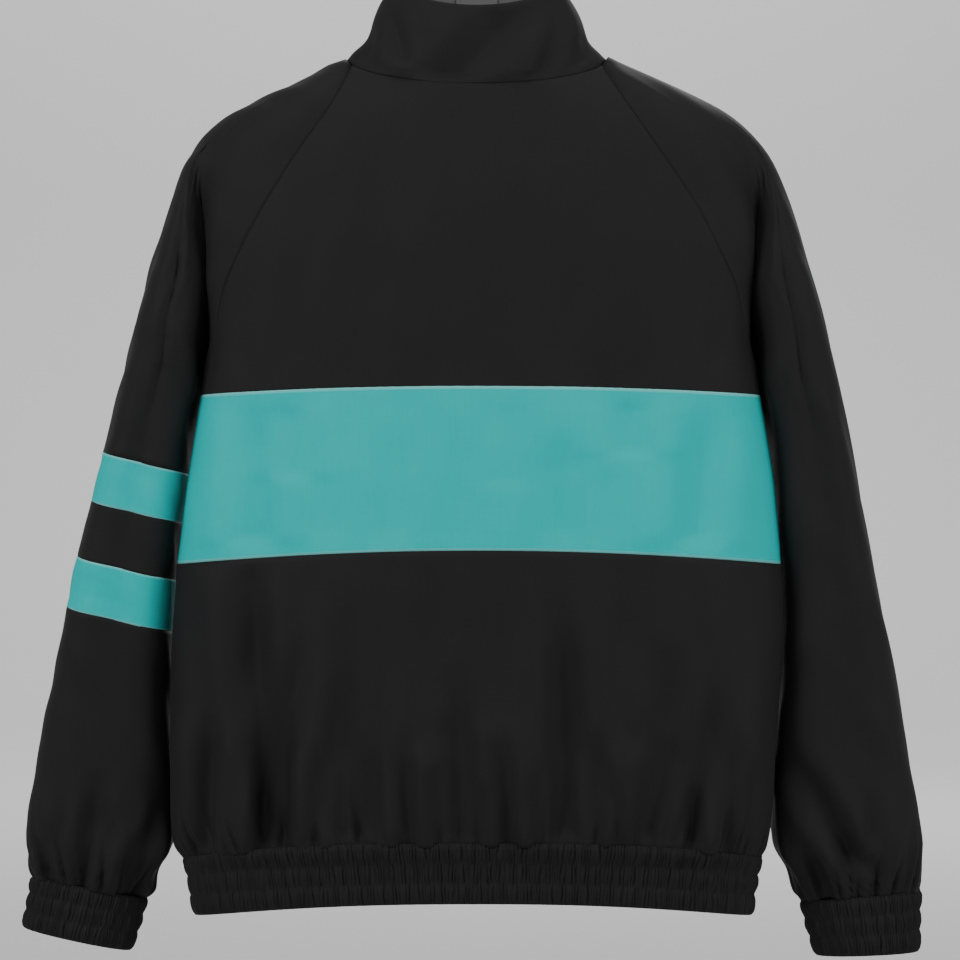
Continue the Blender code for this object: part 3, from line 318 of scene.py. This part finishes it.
def sew(name, bm, levels, shape, dye, wall=0.0009, roll=0.0002, reach=0.0003):
    """Turns a skin into cloth: subdivides it, moves it by shape, rolls its edges in at the
    seams, lets them reach towards the next piece and gives it a thin wall on the inside."""
    mesh = bpy.data.meshes.new(name)
    bm.to_mesh(mesh)
    bm.free()
    piece = linked(name, mesh)
    if levels:
        finer = piece.modifiers.new("finer", "SUBSURF")
        finer.levels = finer.render_levels = levels
        finer.boundary_smooth = "PRESERVE_CORNERS"
        graph = bpy.context.evaluated_depsgraph_get()
        piece.data = bpy.data.meshes.new_from_object(piece.evaluated_get(graph))
        piece.modifiers.remove(finer)
    mesh = piece.data
    count = len(mesh.vertices)
    co, normal = np.zeros(count * 3), np.zeros(count * 3)
    mesh.vertices.foreach_get("co", co)
    mesh.vertices.foreach_get("normal", normal)
    co, normal = co.reshape(-1, 3), normal.reshape(-1, 3)
    open_edges, border = open_border(mesh)
    tree = KDTree(len(border))
    for i in border:
        tree.insert(co[i], int(i))
    tree.balance()
    near = np.array([tree.find(p)[2] for p in co])
    lift = shape(co, normal, near) - roll * np.exp(-(near / ROLL_WIDE) ** 2)
    spread = outward_at_edges(mesh, co, open_edges)
    mesh.vertices.foreach_set("co", (co + normal * lift[:, None] + spread * reach).ravel())
    # The mask of the painted highlight along the seams, read by the colour of woven cloth.
    painted_highlight = mesh.attributes.new("painted_highlight_mask", "FLOAT", "POINT")
    painted_highlight.data.foreach_set("value", np.exp(-(near / PAINTED_HIGHLIGHT_WIDE) ** 4))
    mesh.shade_smooth()
    mesh.materials.clear()
    mesh.materials.append(dye)
    wall_of = piece.modifiers.new("wall", "SOLIDIFY")
    wall_of.thickness = wall
    wall_of.offset = -1.0
    return piece


def panel(name, node, levels, shape, dye, rows=0):
    """A cut piece of cloth that stands for one solid.  Its shape takes each point's place,
    normal and distance from the nearest seam, and gives how far the point moves out."""
    skin = outer_skin(node)
    if rows:
        cut_rows(skin, rows)
    piece = sew(name, skin, levels, shape, dye)
    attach(piece, "garment")
    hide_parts(node)


# Each row of a table of folds is one fold, in millimetres: x and z of its top, of its
# middle and of its foot, then its depth and half width.
YOKE_PULLS = (
    (-60, -40, -68, -110, -72, -200, 1.0, 22), (35, -60, 40, -130, 48, -230, 0.9, 26),
    (110, -90, 120, -150, 118, -240, 1.0, 20), (-130, -110, -138, -170, -140, -255, 1.3, 18),
    (-176, -150, -186, -200, -190, -262, 1.6, 9), (186, -160, 192, -205, 194, -258, 1.6, 9),
    (-96, -150, -98, -200, -104, -262, 0.9, 15), (72, -170, 70, -210, 66, -262, 0.9, 16),
    (-10, -190, -12, -225, -10, -262, 0.7, 20), (150, -170, 156, -215, 158, -260, 1.0, 14),
)


def yoke_shape(co, normal, near):
    ease = np.clip(near / 0.03, 0, 1)
    return ease * (folds(co, YOKE_PULLS)
                   + ripple(co, ((0.0006, 0.13, 1.0, 0.31, 0.4), (0.0004, 0.07, 1.0, 0.19, 2.0),
                                 (0.00015, 0.031, 1.0, -0.09, 1.0))))


panel("upper_back", "back_upper", 3, yoke_shape, black_cloth)


# ---- teal band ----------------------------------------------------------------------
# A full-width strip of the same cloth dyed teal, let in across the back between the side
# seams.  The cloth above and below pulls it into a few upright hollows.
# The teal cloth has a painted highlight of share 0.38 along its seams.
teal_cloth = woven("teal_cloth", (0.001, 0.425, 0.418), (0.004, 0.520, 0.510), 0.66, 0.0, 0.38)

BAND_HOLLOWS = (
    (-176, -276, -180, -340, -182, -402, 8.0, 16), (-152, -278, -151, -312, -150, -344, 4.6, 13),
    (-70, -300, -72, -350, -74, -402, 4.6, 19), (66, -308, 67, -350, 66, -402, 4.9, 18),
    (124, -274, 124, -300, 125, -326, 3.8, 15), (184, -292, 183, -345, 178, -402, 5.3, 16),
    (-8, -290, -10, -340, -12, -398, 1.9, 26), (-110, -285, -112, -330, -114, -400, 2.3, 18),
    (100, -330, 102, -370, 100, -402, 2.7, 15), (20, -275, 22, -300, 24, -350, 1.7, 18),
)


def band_shape(co, normal, near):
    ease = np.clip(near / 0.018, 0, 1)
    behind = np.clip(0.5 - normal[:, 1], 0, 1)
    return ease * (behind * folds(co, BAND_HOLLOWS)
                   + ripple(co, ((0.0005, 0.088, 1.0, 0.6, 0.2), (0.0003, 0.047, 1.0, -0.4, 1.2))))


def cut_rows(bm, cuts):
    """Cuts the upright edges of a skin, so that its squares are nearly even."""
    upright = [e for e in bm.edges
               if abs(e.verts[0].co.z - e.verts[1].co.z) > 0.6 * e.calc_length()]
    bmesh.ops.subdivide_edges(bm, edges=upright, cuts=cuts, use_grid_fill=True)


panel("back_band_cloth", "back_band", 2, band_shape, teal_cloth,
      rows=5)


# ---- lower back ---------------------------------------------------------------------
# The black panel that blouses over the hem.  The elastic gathers its lower edge, so upright
# folds of uneven length run up from it, some of them nearly to the band.
BACK_FOLDS = (
    (-184, -405, -177, -520, -168, -642, 12.0, 14), (-138, -470, -151, -530, -152, -644, 10.5, 14),
    (-98, -440, -106, -552, -111, -644, 9.6, 14), (-74, -430, -80, -560, -90, -644, 8.9, 12),
    (-15, -500, -16, -580, -16, -644, 9.0, 12), (66, -430, 73, -560, 68, -644, 12.8, 14),
    (146, -480, 147, -600, 131, -646, 9.6, 14), (189, -505, 179, -600, 161, -648, 9.6, 14),
    (-215, -530, -217, -585, -220, -652, 9.4, 11), (-197, -565, -197, -618, -198, -650, 5.7, 7),
    (-128, -560, -130, -612, -133, -644, 7.7, 8), (-58, -550, -56, -612, -53, -644, 8.1, 8),
    (-36, -575, -35, -618, -34, -644, 5.3, 6), (20, -545, 23, -614, 25, -644, 5.7, 8),
    (46, -575, 46, -618, 47, -644, 5.0, 6), (96, -545, 98, -614, 99, -644, 8.5, 9),
    (112, -590, 113, -622, 114, -644, 4.3, 6), (206, -550, 205, -612, 203, -652, 8.1, 9),
    (222, -570, 221, -616, 219, -652, 5.0, 7), (4, -590, 4, -620, 5, -644, 4.3, 6),
    (-172, -590, -174, -620, -176, -646, 4.8, 6), (176, -590, 175, -622, 173, -648, 4.3, 6),
    (120, -430, 118, -480, 124, -560, 5.3, 18), (-30, -420, -34, -480, -36, -560, 4.2, 23),
    (20, -430, 22, -490, 18, -540, 3.1, 21),
)
BODY_FOOT, FOOT_SAG, BODY_HALF = -0.6415, 0.015, 0.242


def above_hem(co):
    """Height over the hem's seam, which drops a little towards the sides."""
    return co[:, 2] - BODY_FOOT + FOOT_SAG * np.clip(np.abs(co[:, 0]) / BODY_HALF, 0, 1) ** 3


PLEATS = ((12.3, 1.0, 0.7), (8.3, 0.8, 2.1), (23.9, 1.1, 0.0), (5.3, 0.4, 1.0))
PLEAT_HELD, PLEAT_FREE_ABOVE = 0.22, 0.009


def gathers(round_it, above, high, tall):
    """Small pleats of cloth drawn in on elastic: uneven in width, height and length.  They
    add up waves, each of a width in millimetres, a height and a shift."""
    u = round_it * 1000
    wave = sum(height * np.sin(2 * math.pi * u / wide + shift)
               for wide, height, shift in PLEATS) / 2.4
    length = tall * (0.55 + 0.3 * np.sin(2 * math.pi * u / 41 + 1) + 0.25 * np.sin(u / 3.1))
    rise = np.exp(-(above / np.maximum(length, 0.25 * tall)) ** 2)
    start = PLEAT_HELD + (1 - PLEAT_HELD) * np.clip(above / PLEAT_FREE_ABOVE, 0, 1)
    return high * rise * start * np.where(wave > 0, 0.8 * wave, 1.25 * wave)


DEPTH_TO_WIDTH, BODY_RADIUS = 0.38, 0.183


def round_body(co):
    """Distance round the body, from the angle about its middle."""
    return np.arctan2(co[:, 1], co[:, 0] * DEPTH_TO_WIDTH) * BODY_RADIUS


def tuck(above):
    """The last few millimetres of gathered cloth turn in behind the elastic."""
    return -0.0002 * np.exp(-(np.clip(above, 0, 1) / 0.0022) ** 2)


FOLD_HELD, FOLD_FREE_ABOVE = 0.6, 0.012


def stitched(above):
    """Share of a fold's depth that is left where the seam on the elastic holds it."""
    return FOLD_HELD + (1 - FOLD_HELD) * np.clip(above / FOLD_FREE_ABOVE, 0, 1)


def eased(near, above, over):
    """Folds fade out over this distance from a plain seam, but run on into the elastic."""
    return np.clip((near + np.exp(-(above / 0.02) ** 2)) / over, 0, 1)


def lower_back_shape(co, normal, near):
    above = above_hem(co)
    slow = ripple(co, ((0.0006, 0.093, 1.0, 0.27, 0.4), (0.0005, 0.051, 1.0, -0.35, 1.9),
                       (0.00025, 0.029, 1.0, 0.2, 0.6)))
    return (eased(near, above, 0.016) * (stitched(above) * folds(co, BACK_FOLDS) + slow)
            + gathers(round_body(co), above, 0.0034, 0.036) + tuck(above))


panel("lower_back", "back_lower", 3, lower_back_shape, black_cloth)


# ---- fronts -------------------------------------------------------------------------
# Two plain black fronts that meet at the zip.  They hang a little fuller than the back and
# gather into the hem in the same way.
FRONT_FOLDS = (
    (-182, -440, -178, -540, -172, -640, 4.8, 11), (-132, -490, -136, -570, -139, -642, 3.8, 10),
    (-92, -540, -94, -600, -96, -642, 3.2, 8), (-48, -470, -53, -560, -50, -642, 4.2, 11),
    (-20, -580, -21, -612, -22, -642, 2.6, 7), (44, -500, 49, -580, 46, -642, 3.8, 10),
    (86, -560, 87, -606, 88, -642, 2.9, 8), (128, -460, 134, -560, 130, -642, 4.8, 11),
    (174, -520, 171, -590, 164, -642, 4.2, 10), (208, -560, 206, -600, 202, -646, 3.2, 8),
    (-120, -120, -128, -210, -132, -330, 2.2, 24), (118, -110, 125, -200, 128, -320, 2.2, 24),
    (-60, -90, -66, -190, -60, -300, 1.6, 26), (58, -100, 66, -200, 62, -310, 1.6, 26),
    (-210, -250, -198, -300, -186, -360, 2.9, 14), (212, -250, 200, -300, 190, -360, 2.9, 14),
)


def front_shape(co, normal, near):
    above = above_hem(co)
    slow = ripple(co, ((0.0008, 0.12, 1.0, 0.33, 1.4), (0.0005, 0.063, 1.0, -0.3, 0.9)))
    by_zip = np.clip((np.abs(co[:, 0]) - 0.006) / 0.012, 0, 1)
    ease = eased(near, above, 0.02)
    return by_zip * (ease * (stitched(above) * folds(co, FRONT_FOLDS) + slow)
                     + gathers(round_body(co), above, 0.0022, 0.030)) + tuck(above)


for side in ("left", "right"):
    panel("front_" + side + "_cloth", "front_" + side, 2, front_shape, black_cloth)


# ---- sleeves ------------------------------------------------------------------------
# Raglan sleeves that run up to the collar, the left one with two teal stripes let in below
# the elbow's height.  They hang straight, fold beside the body and gather above the cuffs.
SLEEVE_FOLDS = {
    "left": (
        (-308, -585, -316, -640, -327, -690, 7.8, 9), (-350, -630, -350, -652, -348, -680, 4.7, 6),
        (-276, -630, -281, -660, -290, -692, 6.5, 8), (-334, -600, -338, -640, -340, -684, 4.7, 6),
        (-296, -610, -300, -650, -306, -690, 4.7, 6), (-262, -600, -268, -640, -280, -692, 4.3, 6),
        (-270, -180, -285, -300, -300, -420, 0.8, 19), (-300, -420, -312, -500, -316, -590, 0.9, 19),
        (-268, -380, -276, -480, -280, -570, 0.8, 17), (-240, -140, -256, -230, -266, -330, 0.9, 12),
    ),
    "right": (
        (258, -560, 280, -612, 312, -662, 7.3, 11), (268, -640, 278, -668, 292, -700, 7.3, 8),
        (300, -630, 305, -660, 309, -700, 5.7, 8), (334, -640, 337, -668, 339, -700, 4.7, 6),
        (318, -600, 322, -646, 326, -696, 4.7, 6), (350, -620, 350, -650, 348, -690, 4.3, 6),
        (276, -180, 292, -300, 306, -420, 0.8, 19), (300, -400, 314, -490, 318, -580, 0.8, 19),
        (266, -380, 276, -470, 284, -560, 0.8, 17), (246, -140, 260, -230, 268, -330, 0.9, 12),
    ),
}
CUFF_SEAM = {            # outer edge x and z, inner edge x and z
    "left": (-0.3648, -0.6732, -0.2718, -0.6913),
    "right": (0.3638, -0.6846, 0.2666, -0.6939),
}
FILL_OUT = 0.0085        # the corners of a sleeve's section fill out by this
DRAW_IN = 0.009          # above the cuff the side next to the body is drawn in by this
RAGLAN_FOOT = -0.30      # height of the armpit's end of the raglan seam
SLEEVE_MIDDLE_Y, SLEEVE_RADIUS = 0.016, 0.062


def sleeve_shape(side):
    """How one sleeve's cloth lies.  It has its own folds behind, and nearly the same in
    front, and the seam on its cuff slants from the outer edge to the inner."""
    out_x, out_z, in_x, in_z = CUFF_SEAM[side]
    slope = (in_z - out_z) / (in_x - out_x)
    middle = (out_x + in_x) / 2
    body_side = 1 if side == "left" else -1

    def shape(co, normal, near):
        above = co[:, 2] - (out_z + (co[:, 0] - out_x) * slope)
        behind = np.clip(0.55 - normal[:, 1] * 1.4, 0, 1)
        turned = co * (0.94, 1.0, 1.0) + (0.012, 0.0, 0.02)
        rows = SLEEVE_FOLDS[side]
        creases = behind * folds(co, rows) + (1 - behind) * folds(turned, rows)
        around = np.arctan2(co[:, 1] - SLEEVE_MIDDLE_Y, co[:, 0] - middle) * SLEEVE_RADIUS
        slow = ripple(co, ((0.0006, 0.14, 0.11, 0.16, 0.3), (0.0005, 0.066, 0.09, 0.083, 1.7),
                           (0.0003, 0.04, 0.05, 0.047, 2.9)))
        low = np.clip((-0.10 - co[:, 2]) / 0.08, 0, 1) * np.clip(above / 0.04, 0, 1)
        by_raglan = np.clip((co[:, 2] - RAGLAN_FOOT) / 0.04, 0, 1)
        by_raglan *= 1 - np.clip(near / 0.03, 0, 1)
        filled = FILL_OUT * low * (2 * normal[:, 0] * normal[:, 1]) ** 2 * (1 - by_raglan)
        inside = np.clip(normal[:, 0] * body_side, 0, 1)
        drawn = DRAW_IN * inside * np.exp(-((above - 0.024) / 0.017) ** 2)
        return (eased(near, above, 0.014) * (stitched(above) * creases + slow) + filled - drawn
                + gathers(around, above, 0.0046, 0.042) + tuck(above))
    return shape


panel("sleeve_left_top", "sleeve_left_upper", 3, sleeve_shape("left"), black_cloth)
for name, dye, slot, area in (("stripe_1", teal_cloth, "band_cloth", 0.0143),
                              ("between", black_cloth, "shell_cloth", 0.0165),
                              ("stripe_2", teal_cloth, "band_cloth", 0.0148)):
    panel("sleeve_left_" + name + "_cloth", "sleeve_left_" + name, 3, sleeve_shape("left"),
          dye, rows=2)
panel("sleeve_left_foot", "sleeve_left_lower", 3, sleeve_shape("left"), black_cloth,
      rows=1)
panel("sleeve_right_cloth", "sleeve_right", 3, sleeve_shape("right"), black_cloth)


# ---- hem ----------------------------------------------------------------------------
# A band of the same cloth folded over wide elastic and sewn through twice, so it has three
# channels.  The elastic draws each channel into fine upright ribs.
HEM_RIBS = 372
ALLOWANCE = 0.008        # of the seam, turned in along the elastic's top
RIB_DEEP, CHANNEL_SWELL = 0.0018, 0.0011
HEM_OBLONG = 2.8         # 2 would be an ellipse
HEM_NARROWING, HEM_WIDEST = 0.16, 0.9355   # towards the front, and what it leaves at the sides
HEM_EDGES = ((-0.6386, 0.015, 3.0), (-0.6880, 0.013, 2.4))   # height, drop, how late it drops
HEM_HEIGHTS = (-0.705, -0.682, -0.660, -0.650, -0.632)       # half widths and depths follow
HEM_LEFT = (0.2295, 0.2335, 0.237, 0.241, 0.246)
HEM_RIGHT = (0.224, 0.226, 0.230, 0.234, 0.238)
HEM_BACK = (0.076, 0.078, 0.080, 0.084, 0.089)
HEM_FRONT = (0.077, 0.079, 0.081, 0.085, 0.090)


def hem_place(angle, share):
    """Point of the hem's outside; the section is a rounded oblong, narrower in front.  Its
    size depends on the height and the height on the place, so a few rounds settle them."""
    c, s = np.cos(angle), np.sin(angle)
    high, drop, late = (a + (b - a) * share for a, b in zip(*HEM_EDGES))
    z = high + 0 * c
    for _ in range(3):
        back, front = np.interp(z, HEM_HEIGHTS, HEM_BACK), np.interp(z, HEM_HEIGHTS, HEM_FRONT)
        side = np.where(c > 0, np.interp(z, HEM_HEIGHTS, HEM_RIGHT),
                        np.interp(z, HEM_HEIGHTS, HEM_LEFT))
        y = -np.sign(s) * np.abs(s) ** (2 / HEM_OBLONG) * np.where(s > 0, back, front)
        x = (np.sign(c) * np.abs(c) ** (2 / HEM_OBLONG) * side / HEM_WIDEST
             * (1 - HEM_NARROWING * (y + back) / (back + front)))
        z = high - drop * np.clip(np.abs(x) / side, 0, 1) ** late
    return np.stack((x, y, z), axis=-1)


def channel_ribs(turn, share, ribs, seed):
    """Height of elastic cloth: three swollen channels, ribbed, pinched at the stitching."""
    channel = np.minimum((share * 3).astype(int), 2)
    swell = np.maximum(np.abs(np.sin(math.pi * 3 * share)) ** 0.6, 0.7 - share * 9)
    phase = 2 * math.pi * ribs * turn
    jitter = (2.3 * np.sin(phase / 9.7 + seed + channel * 2.1)
              + 1.5 * np.sin(phase / 5.3 + 1.9 * channel + seed)
              + 0.7 * np.sin(share * 17 + phase / 6.1))
    rib = 1 - 2 * np.abs(np.sin((phase + jitter + 1.7 * channel) / 2)) ** 0.8
    uneven = 0.55 + 0.3 * np.sin(phase / 3.4 + channel * 1.3 + seed) + 0.2 * np.sin(phase / 2.3)
    broad = np.sin(phase / 4.3 + 2.2 * channel) + np.sin(phase / 7.9 + 1.1 * channel + seed)
    return (0.0002 + CHANNEL_SWELL * swell - rib * uneven * RIB_DEEP * (0.5 + 0.5 * swell)
            + 0.0004 * broad * swell)


def elastic_band(place, columns, rows, ribs, closed, seed):
    """A ribbed band from a flat grid, wrapped round its place, with its seam allowance
    turned in along the top."""
    bm = bmesh.new()
    bmesh.ops.create_grid(bm, x_segments=columns, y_segments=rows, size=0.5)
    flat = np.array([v.co for v in bm.verts])
    turn, share = flat[:, 0] + 0.5, ((0.5 - flat[:, 1]) * rows - 1) / (rows - 1)
    allowance, share = share < -0.5 / rows, np.clip(share, 0, 1)
    ahead = place(turn + 0.0004, share) - place(turn - 0.0004, share)
    out = np.cross(ahead, (0.0, 0.0, 1.0))
    out /= np.linalg.norm(out, axis=1)[:, None]
    middle = place(turn, share)
    away = np.sign(((middle - middle.mean(axis=0)) * out).sum(axis=1).mean())
    lift = channel_ribs(turn, share, ribs, seed) * np.clip((1.02 - share) / 0.03, 0.2, 1)
    lift -= 0.0016 * np.exp(-(share / 0.05) ** 2) + ALLOWANCE * allowance
    for v, p in zip(bm.verts, middle + out * (away * lift)[:, None]):
        v.co = p
    if closed:
        bmesh.ops.remove_doubles(bm, verts=bm.verts, dist=0.00005)
    bmesh.ops.recalc_face_normals(bm, faces=bm.faces)
    bm.normal_update()
    face = max(bm.faces, key=lambda f: abs(f.normal.y))
    if face.normal.dot(face.calc_center_median() - Vector(middle.mean(axis=0))) < 0:
        bmesh.ops.reverse_faces(bm, faces=bm.faces)
    return bm


ZIP_HALF_ANGLE = 0.003   # the band starts and ends at the zip, in the middle of the front
fine = np.linspace(-math.pi / 2 + ZIP_HALF_ANGLE, math.pi * 1.5 - ZIP_HALF_ANGLE, 6001)
steps = np.linalg.norm(np.diff(hem_place(fine, 0.5), axis=0), axis=1)
hem_length = np.concatenate(([0], np.cumsum(steps)))
hem_length /= hem_length[-1]


def hem_turn(turn, share):
    """Point of the hem by its share of the way round, evenly spaced."""
    return hem_place(np.interp(turn, hem_length, fine), share)


def still(co, normal, near):
    """No folds: the piece keeps the form that it was given."""
    return np.zeros(len(co))


hem_cloth = sew("hem_elastic", elastic_band(hem_turn, 4 * HEM_RIBS, 27, HEM_RIBS, False, 0.4),
                0, still, black_cloth, wall=0.0008, roll=0.0)
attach(hem_cloth, "garment")
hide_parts("hem_band")


# ---- cuffs --------------------------------------------------------------------------
# The sleeves end in narrow bands made like the hem, with three elastic channels each.
CUFF_RIBS = 118
CUFF_OVAL = 2.2
CUFFS = {   # outer edge x and z, inner edge x and z, middle y, depth, at the top and foot
    "left": ((-0.3643, -0.6714, -0.2720, -0.6896, 0.016, 0.0330),
             (-0.3724, -0.7143, -0.2853, -0.7332, 0.016, 0.0305)),
    "right": ((0.3636, -0.6829, 0.2670, -0.6922, 0.016, 0.0330),
              (0.3625, -0.7340, 0.2795, -0.7373, 0.016, 0.0305)),
}
for side, (top, foot) in CUFFS.items():
    def cuff_turn(turn, share):
        out_x, out_z, in_x, in_z, mid_y, depth = (a + (b - a) * share for a, b in zip(top, foot))
        c, s = np.cos(2 * math.pi * turn), np.sin(2 * math.pi * turn)
        wide = np.sign(c) * np.abs(c) ** (2 / CUFF_OVAL)
        deep = np.sign(s) * np.abs(s) ** (2 / CUFF_OVAL)
        return np.stack(((out_x + in_x) / 2 + (out_x - in_x) / 2 * wide, mid_y - depth * deep,
                         (out_z + in_z) / 2 + (out_z - in_z) / 2 * wide), axis=-1)
    cuff_cloth = sew("cuff_" + side + "_elastic",
                     elastic_band(cuff_turn, 4 * CUFF_RIBS, 27, CUFF_RIBS, True, 1.3),
                     0, still, black_cloth, wall=0.0008, roll=0.0)
    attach(cuff_cloth, "garment")
    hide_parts("cuff_" + side)


# ---- collar -------------------------------------------------------------------------
# A soft stand collar of the black cloth, faced inside with smooth grey cloth.  It leans in
# to its rim and has slack pulls where it bends round the neck.
COLLAR_PULLS = (
    (-70, 36, -66, 14, -60, -8, 3.0, 7), (66, 34, 60, 4, 52, -22, 2.6, 7),
    (88, 20, 88, 6, 86, -8, 2.2, 6), (34, 40, 6, 2, -30, -30, 7.0, 22),
    (-40, 30, -44, 6, -40, -20, 1.6, 13), (-86, 30, -88, 10, -92, -6, 2.0, 6),
)


def collar_shape(co, normal, near):
    ease = np.clip(near / 0.008, 0, 1)
    behind = np.clip(0.3 - normal[:, 1], 0, 1)
    slow = ripple(co, ((0.0006, 0.06, 0.09, 0.2, 0.4), (0.0004, 0.033, 0.05, 0.11, 1.4)))
    return ease * (behind * folds(co, COLLAR_PULLS) + slow)


collar_cloth = sew("collar_cloth", outer_skin("collar"), 3, collar_shape, black_cloth,
                   wall=0.0009, reach=0.0008)
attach(collar_cloth, "garment")
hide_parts("collar")

grey_lining = woven("grey_facing", (0.115, 0.115, 0.117), (0.15, 0.15, 0.153), 0.62, 0.05)


def facing_shape(co, normal, near):
    """The facing follows the collar's pulls, whichever way its skin points."""
    outward = np.where((normal[:, :2] * co[:, :2]).sum(axis=1) > 0, 1, -1)
    behind = np.clip(-co[:, 1] / 0.03, 0, 1)
    return outward * (behind * folds(co, COLLAR_PULLS) - 0.0012)


facing_cloth = sew("collar_facing_cloth", outer_skin("collar_facing"), 2, facing_shape,
                   grey_lining, wall=0.0008, roll=0.0003)
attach(facing_cloth, "garment")
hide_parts("collar_facing")


# ---- chin guard ---------------------------------------------------------------------
# A small square of the grey cloth, stitched inside the collar's rim in front, that keeps
# the end of the closed zip off the wearer's chin.
def surface_of(*names):
    """The faces of CAD nodes, for finding places on them."""
    bm = bmesh.new()
    for node in names:
        bm.from_mesh(nodes[node].data)
    tree = BVHTree.FromBMesh(bm)
    bm.free()
    return tree


GUARD_WIDE, GUARD_FOOT, GUARD_TOP = 0.034, 0.018, 0.0605
GUARD_OFF = 0.0016       # how far inside the zip it lies
inside_front = surface_of("zip_tape_left", "zip_tape_right", "collar_facing")
guard = bmesh.new()
bmesh.ops.create_grid(guard, x_segments=16, y_segments=16, size=0.5)
for v in guard.verts:
    x, z = v.co.x * GUARD_WIDE, GUARD_FOOT + (v.co.y + 0.5) * (GUARD_TOP - GUARD_FOOT)
    found = inside_front.find_nearest(Vector((x, 0.052, min(z, 0.058))))[0]
    v.co = (x, found.y - GUARD_OFF - 0.0006 * math.cos(v.co.y * 9), z)
bmesh.ops.recalc_face_normals(guard, faces=guard.faces)
chin_guard = sew("chin_guard", guard, 1, still, grey_lining, wall=0.0008)
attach(chin_guard, "garment")


# ---- zip ----------------------------------------------------------------------------
# Knitted tapes with moulded teeth, closed from the hem to the collar's rim, and an enamelled
# slider whose pull hangs from its bridge.
tape_dye = Dye("zip_tape_black", sheen=0.05)
knit = tape_dye.node("ShaderNodeTexWave", {"bands_direction": "Z"},
                     {"Vector": tape_dye.place((1, 1, 1)), "Scale": 260.0}, out=1)
tape_colour = tape_dye.mix(knit, (0.010, 0.010, 0.011, 1), (0.018, 0.018, 0.019, 1))
black_tape = tape_dye.finish(tape_colour, 0.6 + knit * 0.1, knit, 0.0002, 0.6)
metal_dye = Dye("zip_enamel", metallic=0.6)
worn = metal_dye.noise(90.0, 3.0)
metal_colour = metal_dye.mix(worn, (0.020, 0.020, 0.022, 1), (0.034, 0.034, 0.036, 1))
black_metal = metal_dye.finish(metal_colour, 0.28 + worn * 0.14, metal_dye.noise(900.0, 2.0),
                               0.00004, 0.4)
for name, finish in (("zip_tape_left", black_tape), ("zip_tape_right", black_tape),
                     ("zip_slider", black_metal), ("zip_pull", black_metal)):
    nodes[name].data.materials.clear()
    nodes[name].data.materials.append(finish)

TOOTH_PITCH, TOOTH_TALL, TOOTH_WIDE = 0.0026, 0.0015, 0.0033
TOOTH_PAST, TOOTH_SUNK, TOOTH_HIGH = 0.0004, 0.0004, 0.0006   # past the middle, in and over the tape
TOOTH_EDGE, TOOTH_BEVEL = 0.00024, 0.0004
TEETH_FROM, TEETH_TO = 0.040, -0.686
teeth = bmesh.new()
for side, sign, shift in (("left", -1, 0.0), ("right", 1, 0.5)):
    tape = surface_of("zip_tape_" + side)
    for step in range(int((TEETH_FROM - TEETH_TO) / TOOTH_PITCH)):
        z = TEETH_FROM - (step + shift) * TOOTH_PITCH
        place, out = tape.ray_cast(Vector((sign * 0.0014, 1.0, z)), Vector((0, -1, 0)))[:2]
        out = Vector((0.0, out.y, out.z)).normalized()
        deep = TOOTH_SUNK + TOOTH_HIGH - TOOTH_EDGE
        middle = place + out * (deep / 2 - TOOTH_SUNK)
        middle.x = sign * (TOOTH_WIDE / 2 - TOOTH_PAST)
        stand = Matrix(((1, 0, 0), (0, out.y, -out.z), (0, out.z, out.y))).to_4x4()
        form = Matrix.Diagonal((TOOTH_WIDE, deep, TOOTH_TALL, 1.0))
        tooth = bmesh.ops.create_cube(teeth, matrix=Matrix.Translation(middle) @ stand @ form)
        sides = {face for v in tooth["verts"] for face in v.link_faces}
        for face in sides:
            face.normal_update()
        outer = max(sides, key=lambda face: face.normal.dot(out))
        bmesh.ops.inset_individual(teeth, faces=[outer], thickness=TOOTH_BEVEL,
                                   depth=TOOTH_EDGE)
bmesh.ops.recalc_face_normals(teeth, faces=teeth.faces)
teeth_mesh = bpy.data.meshes.new("zip_teeth")
teeth.to_mesh(teeth_mesh)
teeth.free()
moulded = Dye("zip_teeth_black", gloss=0.4)
grain = moulded.noise(700.0, 2.0)
teeth_colour = moulded.mix(grain, (0.012, 0.012, 0.013, 1), (0.020, 0.020, 0.021, 1))
teeth_mesh.materials.append(moulded.finish(teeth_colour, 0.34 + grain * 0.1, grain, 0.00003, 0.4))
zip_teeth = linked("zip_teeth", teeth_mesh)
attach(zip_teeth, "garment")
